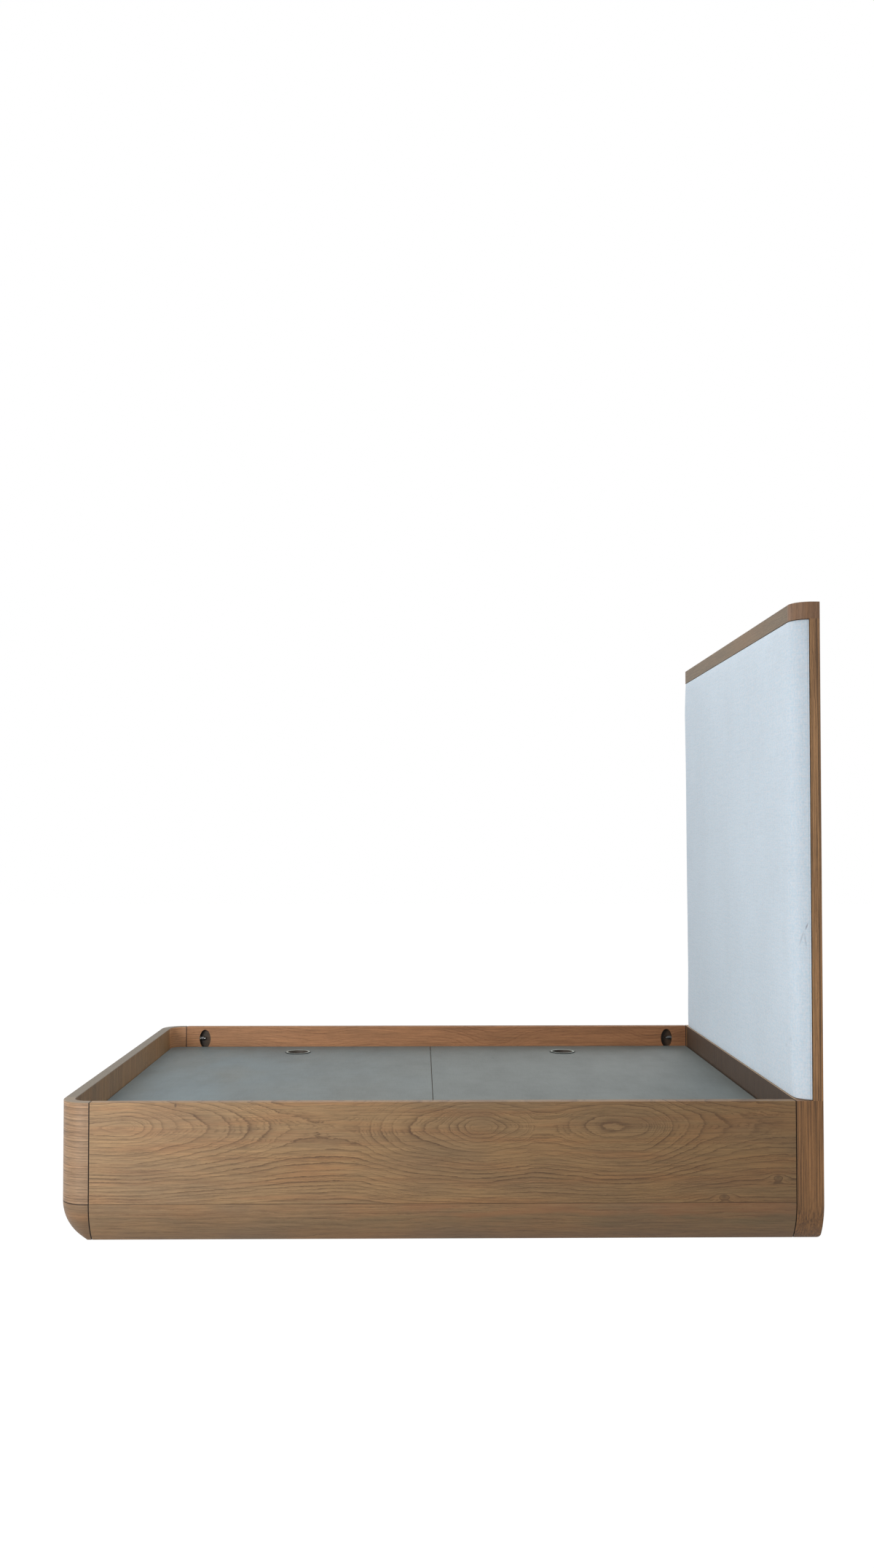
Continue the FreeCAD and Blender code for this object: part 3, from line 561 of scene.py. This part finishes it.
def laminate(name, seed, mark=None):
    """Grey-blue board of the lids: faint cross-hatched print, cloudy tone, light rubbing."""
    finish = Finish(name)
    axes = finish.axes()
    place = (axes["X"], axes["Y"], axes["Z"])
    grain = finish.noise(place, (12.0, 230.0, 230.0), seed, detail=3.0, roughness=0.6)
    threads = finish.noise(place, (330.0, 20.0, 20.0), seed + 2, detail=3.0, roughness=0.6)
    grain = finish.sum("MULTIPLY", finish.sum("ADD", grain, threads), 0.5)
    clouds = finish.noise(place, (4.0, 2.2, 2.2), seed, detail=3.0, roughness=0.55)
    blooms = finish.noise(place, (10.0, 4.5, 4.5), seed + 6, detail=3.0, roughness=0.6)
    cool = finish.spread(axes["X"], -0.75, 0.15)
    base = finish.blend(cool, paint(90, 103, 106), paint(95, 101, 98))
    colour = finish.blend(finish.spread(clouds, 0.36, 0.66), base, paint(99, 104, 101))
    colour = finish.shade(colour, blooms, ((0.32, 0.87), (0.5, 1.0), (0.68, 1.09)))
    colour = finish.shade(colour, grain, ((0.36, 0.88), (0.5, 1.0), (0.64, 1.08)))
    specks = finish.noise(place, (160.0, 420.0, 420.0), seed, detail=1.0)
    colour = finish.blend(finish.spread(specks, 0.66, 0.76, 0.0, 0.16), colour, paint(71, 73, 73))
    if mark:
        shown = finish.spread(finish.spot(axes, *mark), 0.0, 0.5, 0.0, 0.75)
        colour = finish.blend(shown, colour, paint(48, 49, 50))
    finish.put(finish.surface.inputs["Base Color"], colour)
    rough = finish.spread(clouds, 0.3, 0.7, 0.50, 0.60)
    finish.put(finish.surface.inputs["Roughness"], rough)
    finish.bump(grain, 0.12, 0.0003)
    return finish.material


# Linen cover: its yarns, the painted shade of the fold round its side and of the gap at its rear
# edge against the stile, the painted shadow line along its lowest edge, and where its sides and
# its front's ends begin (distances from the bed's middle line)
YARN_PITCH = 0.0022
FOLD_SHADE_X = 1.0265
REAR_GAP_SHADE_X = (1.0306, 1.0322)
SHADOW_LINE_Z = (0.3885, 0.3905)
COVER_SIDE_Y = (0.770, 0.780)
SHADOW_LINE_END_Y = (0.70, 0.735)

# Two faint smudges low on the cover, and their size
SMUDGES = ((1.01, -0.72, 0.548), (1.01, -0.68, 0.527))
SMUDGE_REACH = (None, 0.014, 0.009)

# Painted shade of wrinkles beside the near stile: place (X, Z), lean, half width, half length,
# strength
WRINKLE_SHADES = (
    ((1.0200, 0.870), 0.33, 0.0028, 0.012, 0.60),
    ((1.0075, 0.836), 0.26, 0.0028, 0.026, 0.24),
    ((1.0165, 0.832), -0.14, 0.0030, 0.028, 0.20),
)
WRINKLE_SIDE_Y = (-0.745, -0.735)


def cover_shade_and_smudges(finish, axes, colour):
    """Painted shade of the cover's fold, rear gap, lowest edge and wrinkles; and two smudges."""
    x, y, z = axes["X"], axes["Y"], axes["Z"]
    from_middle = finish.sum("ABSOLUTE", y)
    on_side = finish.spread(from_middle, *COVER_SIDE_Y)
    # Painted shade of the fold round the side
    fold_shade = finish.spread(finish.distance(x, FOLD_SHADE_X), 0.0003, 0.0016, 0.30, 0.0)
    colour = finish.blend(finish.sum("MULTIPLY", fold_shade, on_side), colour, paint(120, 126, 134))
    # Painted shade in the gap between the cover's rear edge and the stile
    rear = finish.spread(x, *REAR_GAP_SHADE_X, 0.0, 0.85)
    colour = finish.blend(finish.sum("MULTIPLY", rear, on_side), colour, paint(52, 42, 36))
    # Painted shadow line along the cover's lowest edge, towards its ends
    shadow_line = finish.spread(z, *SHADOW_LINE_Z, 0.55, 0.0)
    shadow_line = finish.sum("MULTIPLY", shadow_line, finish.spread(from_middle, *SHADOW_LINE_END_Y))
    colour = finish.blend(shadow_line, colour, paint(70, 68, 70))
    for centre in SMUDGES:
        smudge = finish.spread(finish.spot(axes, centre, SMUDGE_REACH), 0.1, 1.0, 0.0, 0.18)
        colour = finish.blend(smudge, colour, paint(140, 140, 144))
    # Painted shade of the wrinkles beside the near stile
    near_side = finish.spread(y, *WRINKLE_SIDE_Y, 1.0, 0.0)
    for (centre_x, centre_z), lean, half_width, half_length, share in WRINKLE_SHADES:
        upward = finish.sum("SUBTRACT", z, centre_z)
        aside = finish.sum("MULTIPLY_ADD", upward, -lean, finish.sum("SUBTRACT", x, centre_x))
        away = finish.length(finish.sum("DIVIDE", aside, half_width),
                             finish.sum("DIVIDE", upward, half_length))
        shown = finish.sum("MULTIPLY", finish.spread(away, 0.2, 1.0, share, 0.0), near_side)
        colour = finish.blend(shown, colour, paint(104, 104, 120))
    return colour


def linen(name):
    """Plain-woven pale linen: two crossing yarn sets, slubs, and mottled yarn tones."""
    finish = Finish(name)
    axes = finish.axes()
    x, y, z = axes["X"], axes["Y"], axes["Z"]
    round_side = finish.sum("ADD", y, finish.sum("MULTIPLY", x, finish.sum("SIGN", y)))
    place = (round_side, z, x)
    turn = 2 * math.pi / YARN_PITCH
    warp = finish.sum("SINE", finish.sum("MULTIPLY", round_side, turn))
    weft = finish.sum("SINE", finish.sum("MULTIPLY", z, turn))
    weave = finish.spread(finish.sum("MULTIPLY", warp, weft), -1.0, 1.0)
    slubs = finish.sum("ADD", finish.noise(place, (420.0, 16.0, 20.0), 1.0),
                       finish.noise(place, (16.0, 420.0, 20.0), 7.0))
    mottle = finish.spread(finish.noise(place, (150.0, 150.0, 60.0), 3.0), 0.36, 0.64)
    clouds = finish.noise(place, (3.0, 2.4, 3.0), 4.0)
    colour = finish.blend(mottle, paint(205, 223, 236), paint(221, 229, 238))
    half_slubs = finish.sum("MULTIPLY", slubs, 0.5)
    colour = finish.shade(colour, half_slubs, ((0.34, 0.93), (0.5, 1.0), (0.66, 1.03)))
    colour = finish.shade(colour, weave, ((0, 0.93), (0.6, 1.0), (1, 1.02)))
    colour = finish.shade(colour, clouds, ((0.3, 0.97), (0.7, 1.02)))
    colour = cover_shade_and_smudges(finish, axes, colour)
    finish.put(finish.surface.inputs["Base Color"], colour)
    finish.surface.inputs["Roughness"].default_value = 0.92
    finish.surface.inputs["Specular IOR Level"].default_value = 0.18
    finish.surface.inputs["Sheen Weight"].default_value = 0.12
    finish.surface.inputs["Sheen Roughness"].default_value = 0.5
    height = finish.sum("MULTIPLY_ADD", slubs, 0.6, weave)
    finish.bump(height, 0.4, 0.0004)
    return finish.material


# Finger ring: its section (radius, height), and the radii where its painted shade begins, outside
# and inside
RING_SECTION = (
    (0.038, 0.298), (0.0418, 0.298), (0.0418, 0.3102), (0.0478, 0.3102), (0.0480, 0.3122),
    (0.0475, 0.3129), (0.0466, 0.3130), (0.0402, 0.3130), (0.0388, 0.3127), (0.0381, 0.3119),
)
RING_STEPS = 64
RING_OUTER_SHADE = (0.0452, 0.0462)
RING_INNER_SHADE = (0.0384, 0.0390)


def metal(name, colour, worn, roughness, turned_about=None, metallic=1.0):
    """Plated or turned metal with fine scratches; a turned ring gets painted shade at its rim and
    opening.
    """
    finish = Finish(name)
    axes = finish.axes()
    place = (axes["X"], axes["Y"], axes["Z"])
    if turned_about:
        radius = finish.length(finish.sum("SUBTRACT", axes["X"], turned_about[0]),
                               finish.sum("SUBTRACT", axes["Y"], turned_about[1]))
        turned_place = (radius, axes["Z"], axes["Z"])
        scratches = finish.noise(turned_place, (2400.0, 900.0, 900.0))
    else:
        scratches = finish.noise(place, (180.0, 900.0, 900.0), detail=3.0)
    patches = finish.noise(place, (60.0, 60.0, 60.0), detail=3.0)
    tone = finish.blend(finish.spread(patches, 0.35, 0.7), colour, worn)
    tone = finish.shade(tone, scratches, ((0.3, 0.86), (0.7, 1.08)))
    # Painted shade: dark along the ring's outer edge, and dark brown inside its opening
    if turned_about:
        outer_shade = finish.spread(radius, *RING_OUTER_SHADE)
        tone = finish.blend(outer_shade, tone, paint(30, 34, 34))
        inner_shade = finish.spread(radius, *RING_INNER_SHADE, 0.9, 0.0)
        tone = finish.blend(inner_shade, tone, paint(66, 52, 42))
    finish.put(finish.surface.inputs["Base Color"], tone)
    finish.surface.inputs["Metallic"].default_value = metallic
    rough = finish.spread(scratches, 0.3, 0.7, roughness, roughness + 0.14)
    finish.put(finish.surface.inputs["Roughness"], rough)
    finish.bump(scratches, 0.12, 0.0002)
    return finish.material


# Pieces that stand in for CAD nodes

def add_box(name, low, high):
    clear_selection()
    middle = [(a + b) / 2 for a, b in zip(low, high)]
    sides = [b - a for a, b in zip(low, high)]
    bpy.ops.mesh.primitive_cube_add(size=1, location=middle, scale=sides)
    piece = bpy.context.object
    piece.name = name
    bpy.ops.object.transform_apply(location=True, rotation=True, scale=True)
    return piece


def pick_edges(piece, wanted):
    """Selects the edges whose two ends satisfy wanted, and leaves the piece in edit mode."""
    bpy.ops.object.mode_set(mode="EDIT")
    bpy.ops.mesh.select_mode(type="EDGE")
    bpy.ops.mesh.select_all(action="DESELECT")
    bpy.ops.object.mode_set(mode="OBJECT")
    for edge in piece.data.edges:
        ends = [piece.data.vertices[i].co for i in edge.vertices]
        edge.select = bool(wanted(*ends))
    bpy.ops.object.mode_set(mode="EDIT")


def apply_modifiers(piece):
    select_only(piece)
    for modifier in list(piece.modifiers):
        bpy.ops.object.modifier_apply(modifier=modifier.name)


def smooth(piece, degrees):
    """Smooth shading, but for edges sharper than this angle."""
    select_only(piece)
    bpy.ops.object.shade_smooth_by_angle(angle=math.radians(degrees))


def swell(piece, is_held):
    """Blows the cover up from inside with its edges held, then limits how far it has moved."""
    scene = bpy.context.scene
    start = [vertex.co.copy() for vertex in piece.data.vertices]
    held = piece.vertex_groups.new(name="held")
    held.add([i for i, place in enumerate(start) if is_held(place)], 1.0, "REPLACE")
    cloth = piece.modifiers.new("cloth", "CLOTH")
    settings = cloth.settings
    settings.use_pressure = True
    settings.uniform_pressure_force = CUSHION_PRESSURE
    settings.effector_weights.gravity = 0.0
    settings.vertex_group_mass = "held"
    settings.quality = 5
    settings.tension_stiffness = 40
    settings.compression_stiffness = 40
    settings.bending_stiffness = 2.0
    cloth.collision_settings.use_collision = False
    cloth.point_cache.frame_start = 1
    cloth.point_cache.frame_end = CUSHION_FRAMES
    scene.frame_start = 1
    scene.frame_end = CUSHION_FRAMES
    for step in range(1, CUSHION_FRAMES + 1):
        scene.frame_set(step)
    apply_modifiers(piece)
    for vertex, before in zip(piece.data.vertices, start):
        moved = vertex.co - before
        if moved.length > 0:
            limit = CUSHION_SWELL * math.tanh(moved.length / CUSHION_SWELL)
            vertex.co = before + moved.normalized() * limit
    scene.frame_set(1)
    piece.vertex_groups.clear()


def lean_at(low_z, high_z, z):
    """How far the cushion's front leans out at a height, less its return at the top."""
    rise = min(max((z - low_z - CUSHION_LEAN_START) / CUSHION_LEAN_RISE, 0.0), 1.0)
    forward = CUSHION_LEAN * (rise + math.sin(rise * math.pi / 2)) / 2
    back = min(max((z - high_z + CUSHION_RETURN_HEIGHT) / CUSHION_RETURN_HEIGHT, 0.0), 1.0)
    return forward - CUSHION_TOP_RETURN * back * back * (3 - 2 * back)


def headboard_cushion():
    """The headboard's foam and linen cover: taut, with rounded sides and crisp ends."""
    low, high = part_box("headboard_pad")
    side = high.y - CUSHION_SIDE_PLAY
    # The box is deep enough for the whole rounding; what is behind the CAD pad is cut off
    rear = CUSHION_FRONT_X + CUSHION_SHOULDER + 0.0005
    piece = add_box("headboard_cushion", (CUSHION_FRONT_X, -side, low.z), (rear, side, high.z))

    def from_end(place):
        return min(place.z - low.z, high.z - place.z)

    def in_front(a, b):
        return max(a.x, b.x) < CUSHION_FRONT_X + 0.001

    def upright(a, b):
        return abs(a.z - b.z) > 0.1

    def end_edge(a, b):
        at_one_end = max(from_end(a), from_end(b)) < TOUCHING and abs(a.z - b.z) < TOUCHING
        return at_one_end and min(a.x, b.x) < high.x - TOUCHING

    def is_held(place):
        return place.x > high.x - CUSHION_HELD_REAR or from_end(place) < CUSHION_HELD_ENDS

    pick_edges(piece, lambda a, b: in_front(a, b) and upright(a, b))
    bpy.ops.mesh.bevel(offset=CUSHION_SHOULDER, segments=12, profile=0.5)
    bpy.ops.mesh.select_all(action="SELECT")
    bpy.ops.mesh.bisect(plane_co=(high.x, 0, 0), plane_no=(1, 0, 0), use_fill=True,
                        clear_outer=True)
    bpy.ops.object.mode_set(mode="OBJECT")
    pick_edges(piece, upright)
    bpy.ops.mesh.subdivide(number_cuts=CUSHION_ROWS)
    bpy.ops.object.mode_set(mode="OBJECT")
    pick_edges(piece, lambda a, b: in_front(a, b) and abs(a.y - b.y) > 0.5)
    bpy.ops.mesh.subdivide(number_cuts=CUSHION_COLUMNS)
    bpy.ops.object.mode_set(mode="OBJECT")
    pick_edges(piece, end_edge)
    bpy.ops.mesh.bevel(offset=CUSHION_EDGE, segments=3, profile=0.5)
    bpy.ops.mesh.select_all(action="SELECT")
    bpy.ops.mesh.normals_make_consistent(inside=False)
    bpy.ops.object.mode_set(mode="OBJECT")
    depth = high.x - CUSHION_FRONT_X
    for vertex in piece.data.vertices:
        share = (high.x - vertex.co.x) / depth
        vertex.co.x -= lean_at(low.z, high.z, vertex.co.z) * share
    swell(piece, is_held)
    rounded = piece.modifiers.new("rounded", "SUBSURF")
    rounded.levels = 1
    rounded.render_levels = 1
    apply_modifiers(piece)
    smooth(piece, 50)
    return piece


def finger_ring(name, node):
    """A turned ring: sleeve, and a flat raised rim with rounded edges."""
    low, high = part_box(node)
    centre = Vector(((low.x + high.x) / 2, (low.y + high.y) / 2, 0))
    clear_selection()
    bpy.ops.mesh.primitive_circle_add(vertices=len(RING_SECTION), radius=0.01, location=(0, 0, 0))
    piece = bpy.context.object
    piece.name = name
    for vertex, (radius, level) in zip(piece.data.vertices, RING_SECTION):
        vertex.co = (centre.x + radius, centre.y, level)
    bpy.ops.object.mode_set(mode="EDIT")
    bpy.ops.mesh.select_all(action="SELECT")
    bpy.ops.mesh.spin(steps=RING_STEPS, angle=2 * math.pi, center=centre, axis=(0, 0, 1))
    bpy.ops.mesh.select_all(action="SELECT")
    bpy.ops.mesh.remove_doubles(threshold=0.00001)
    bpy.ops.mesh.normals_make_consistent(inside=False)
    bpy.ops.object.mode_set(mode="OBJECT")
    smooth(piece, 40)
    return piece


# Dressing the bed

def dress(nodes, material):
    for name in nodes:
        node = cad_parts[name]
        node.data.materials.clear()
        node.data.materials.append(material)
        for face in node.data.polygons:
            face.material_index = 0


def dress_piece(piece, material, body, node):
    piece.data.materials.clear()
    piece.data.materials.append(material)
    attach(piece, body)
    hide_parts(node)


def dress_rails():
    dress(["side_rail_near"], oak(
        "oak near rail", "X", "Z", 0.316, seed=1.3, depths=NEAR_RAIL_DEPTHS,
        line=paint(74, 50, 30), line_share=1.0, grey_share=0.45, warm_share=0.5,
        soft_from=0.35, calm=NEAR_RAIL_CALM, knots=NEAR_RAIL_KNOTS,
        far_end_shade=(0.92, 0.87, 0.77, 1), seam_shade_share=0.5,
        end_gap_shades=(RAIL_FOOT_X, RAIL_HEAD_X), marks=near_rail_mark))
    # The far rail's inner face is painted lighter and warmer, for bounced light
    dress(["side_rail_far"], oak(
        "oak far rail", "X", "Z", 0.19, seed=12.7, depth=0.09, swing=0.09,
        light=paint(184, 131, 88), outer_light=OAK_LIGHT, line=paint(122, 78, 47),
        grey_share=0.1, far_end_shade=(0.70, 0.64, 0.62, 1), seam_shade_share=0.6,
        end_gap_shades=(RAIL_FOOT_X, RAIL_HEAD_X), marks=pocket_shade))
    dress(["rail_base_near", "rail_base_far"], oak(
        "oak base", "X", "Z", -0.25, seed=4.1, depth=0.05, swing=0.05, spacing=0.016,
        wander=0.03, light=paint(141, 111, 77), line_share=0.6, grey_share=0.5,
        seam_shade_share=0.5, end_gap_shades=(RAIL_FOOT_X, RAIL_HEAD_X), marks=base_bands))


def dress_foot():
    dress(["foot_board"], oak(
        "oak foot board", "Z", "Y", 0.26, seed=7.7, depth=0.07, swing=0.05, wander=0.02,
        light=paint(143, 109, 70), streak_share=1.6, streak_scale=110.0, seam_shade_share=0.6,
        top_sheen_and_edge=paint(107, 96, 80)))
    dress(["foot_base"], oak(
        "oak foot base", "Y", "Z", -0.25, seed=9.1, depth=0.05, swing=0.05, spacing=0.012,
        light=paint(136, 108, 77), line_share=0.5, seam_shade_share=0.6))
    dress(["foot_corner_near"], oak(
        "oak near corner", "round", "Z", -0.4, seed=2.2, depth=0.1, swing=0.02,
        spacing=0.0078, wander=0.006, light=OAK_CORNER, line=paint(78, 56, 38),
        line_share=1.0, grey_share=0.12, warm_share=0.2, streak_share=1.8, seam_shade_share=1.0,
        seam_shade_half=0.0014, end_gap_shades=(RAIL_FOOT_X,), top_sheen_and_edge=paint(124, 108, 88)))
    # The far corner's inner face is painted lighter, for the light it faces away from
    dress(["foot_corner_far"], oak(
        "oak far corner", "round", "Z", -0.4, seed=5.2, depth=0.1, swing=0.02,
        spacing=0.0078, wander=0.006, light=paint(190, 140, 100), outer_light=OAK_CORNER,
        line_share=0.6, grey_share=0.12, seam_shade_share=0.6, end_gap_shades=(RAIL_FOOT_X,),
        top_sheen_and_edge=paint(114, 102, 86)))
    dress(["corner_bases"], oak(
        "oak corner base", "round", "Z", -0.4, seed=6.2, depth=0.1, swing=0.02,
        spacing=0.006, wander=0.004, light=paint(117, 91, 65), line_share=0.35,
        grey_share=0.3, seam_shade_share=1.0, seam_shade_half=0.0014, end_gap_shades=(RAIL_FOOT_X,)))


def dress_head():
    dress(["head_leg_near", "head_leg_far"], oak(
        "oak leg", "Z", "X", 0.80, seed=3.4, depth=0.02, swing=0.02, spacing=0.0075,
        wander=0.005, light=paint(145, 104, 65), line=paint(60, 41, 24), line_share=1.0,
        grey_share=0.1, streak_share=2.8, streak_scale=220.0, streak_run=3.5,
        end_gap_shades=(RAIL_HEAD_X,)))
    dress(["stile_near", "stile_far"], oak(
        "oak stile", "Z", "X", 0.90, seed=5.5, depth=0.03, swing=0.02, spacing=0.0090,
        wander=0.003, light=paint(170, 128, 87), line=paint(74, 51, 32), line_share=0.9,
        grey_share=0.1, streak_share=3.3, streak_scale=200.0, streak_run=2.0))
    dress(["top_rail"], oak(
        "oak top rail", "Y", "Z", 1.60, seed=8.8, depth=0.05, swing=0.02, spacing=0.006,
        wander=0.004, light=paint(116, 97, 71), line=paint(77, 64, 49), grey_share=0.3,
        warm_share=0.1, marks=stipple))
    dress(["top_corner_near", "top_corner_far"], oak(
        "oak top corner", "Z", "X", 0.93, seed=3.9, depth=0.03, swing=0.01, spacing=0.014,
        wander=0.002, light=paint(134, 101, 75), line=paint(83, 57, 39), line_share=0.7,
        grey_share=0.2))
    dress(["low_panel"], oak(
        "oak low panel", "Z", "Y", 0.28, seed=14.2, depth=0.08, swing=0.05,
        light=paint(70, 54, 41), line=paint(46, 34, 26), grey_share=0.0, warm_share=0.0,
        streak_share=1.4, streak_scale=90.0, top_sheen_and_edge=paint(168, 142, 112)))
    dress(["low_back_panel", "head_base"], oak(
        "oak head panel", "Y", "Z", 0.2, seed=17.2, depth=0.06, swing=0.08))
    dress(["back_panel"], oak(
        "oak back panel", "Z", "Y", 0.1, seed=21.0, depth=0.10, swing=0.12, spacing=0.013,
        wander=0.02))


def dress_inside():
    along_x = pine("pine along the bed", "X", "Z", 2.0)
    along_y = pine("pine across the bed", "Y", "Z", 5.0)
    dress(["ledge_near_foot", "ledge_near_head", "ledge_far_foot", "ledge_far_head"], along_x)
    dress(["spine_foot", "spine_head", "rail_dowels"], along_x)
    dress(["ledge_foot_end", "ledge_head_end", "partition_bearer", "cross_rail"], along_y)
    dress(["centre_feet", "stile_dowels"], pine("pine upright", "Z", "X", 8.0))
    dress(["storage_floor_foot", "storage_floor_head"], plywood("plywood floor", "X", "Y", 1.0))
    dress(["partition"], plywood("plywood partition", "Y", "Z", 4.0))
    dress(["pad_board"], plywood("plywood backing", "Y", "Z", 6.0))


def dress_lids():
    dress(["lid_foot"], laminate("laminate foot lid", 3.0))
    dress(["lid_head"], laminate("laminate head lid", 8.0, mark=HEAD_LID_MARK))
    for end in ("foot", "head"):
        node = "finger_ring_" + end
        low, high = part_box(node)
        centre = ((low.x + high.x) / 2, (low.y + high.y) / 2)
        finish = metal("ring alloy " + end, paint(164, 172, 166), paint(140, 142, 134), 0.52,
                       turned_about=centre, metallic=0.35)
        dress([node], finish)
        ring = finger_ring("turned_ring_" + end, node)
        dress_piece(ring, finish, end + "_lid", node)


def dress_connectors():
    dress(["rail_studs", "rail_washers"], metal(
        "zinc steel", paint(168, 168, 164), paint(120, 120, 118), 0.32))
    dress(["rail_nuts"], metal("dark zinc steel", paint(120, 120, 120), paint(84, 84, 86), 0.38))


def dress_headboard():
    cover = linen("linen cover")
    dress(["headboard_pad"], cover)
    cushion = headboard_cushion()
    dress_piece(cushion, cover, "bed_frame", "headboard_pad")


# Stage, light and camera

def seen_directly(tree):
    """1 for what the camera sees, directly or in gloss or glass, and 0 for other light."""
    path = tree.nodes.new("ShaderNodeLightPath")
    total = path.outputs["Is Camera Ray"]
    for name in ("Is Glossy Ray", "Is Transmission Ray"):
        more = tree.nodes.new("ShaderNodeMath")
        more.operation = "MAXIMUM"
        tree.links.new(total, more.inputs[0])
        tree.links.new(path.outputs[name], more.inputs[1])
        total = more.outputs[0]
    return total


def stage_floor():
    """A wide floor that the camera sees as white and that throws little light on the bed."""
    clear_selection()
    bpy.ops.mesh.primitive_plane_add(size=FLOOR_SIZE, location=(0, 0, 0))
    floor = bpy.context.object
    floor.name = "studio_floor"
    finish = Finish("studio floor")
    seen = seen_directly(finish.tree)
    tone = finish.spread(seen, 0.0, 1.0, FLOOR_BOUNCE, FLOOR_SEEN)
    finish.put(finish.surface.inputs["Base Color"], tone)
    finish.surface.inputs["Roughness"].default_value = 1.0
    finish.surface.inputs["Specular IOR Level"].default_value = 0.0
    glow = finish.add("ShaderNodeEmission", {"Color": (1, 1, 1, 1), "Strength": FLOOR_GLOW})
    share = finish.sum("MULTIPLY", seen, FLOOR_GLOW_SHARE)
    mixed = finish.add("ShaderNodeMixShader", {
        0: share, 1: finish.surface.outputs[0], 2: glow.outputs[0]})
    output = finish.tree.nodes["Material Output"]
    finish.put(output.inputs["Surface"], mixed.outputs[0])
    floor.data.materials.append(finish.material)


def surround():
    """A white surround that the camera sees as pure white and that lights the bed softly."""
    world = bpy.data.worlds.new("studio")
    bpy.context.scene.world = world
    world.use_nodes = True
    tree = world.node_tree
    background = tree.nodes["Background"]
    background.inputs["Color"].default_value = (1, 1, 1, 1)
    strength = tree.nodes.new("ShaderNodeMapRange")
    tree.links.new(seen_directly(tree), strength.inputs[0])
    strength.inputs[3].default_value = SURROUND
    strength.inputs[4].default_value = 1.0
    tree.links.new(strength.outputs[0], background.inputs["Strength"])


def lamp(name, place, target, size, power):
    data = bpy.data.lights.new(name, "AREA")
    data.shape = "RECTANGLE"
    data.size, data.size_y = size
    data.energy = power
    made = bpy.data.objects.new(name, data)
    bpy.context.scene.collection.objects.link(made)
    made.location = place
    made.rotation_euler = (Vector(target) - Vector(place)).to_track_quat("-Z", "Y").to_euler()


def camera():
    data = bpy.data.cameras.new("camera")
    data.sensor_fit = "VERTICAL"
    data.sensor_height = CAMERA_SENSOR
    data.lens = CAMERA_LENS
    data.shift_y = CAMERA_SHIFT
    data.clip_start = 0.05
    made = bpy.data.objects.new("camera", data)
    bpy.context.scene.collection.objects.link(made)
    made.location = CAMERA_PLACE
    made.rotation_euler = (CAMERA_TILT, 0, CAMERA_TURN)
    bpy.context.scene.camera = made


dress_rails()
dress_foot()
dress_head()
dress_inside()
dress_lids()
dress_connectors()
dress_headboard()
stage_floor()
surround()
for row in LAMPS:
    lamp(*row)
camera()
bpy.context.scene.view_settings.view_transform = "Standard"
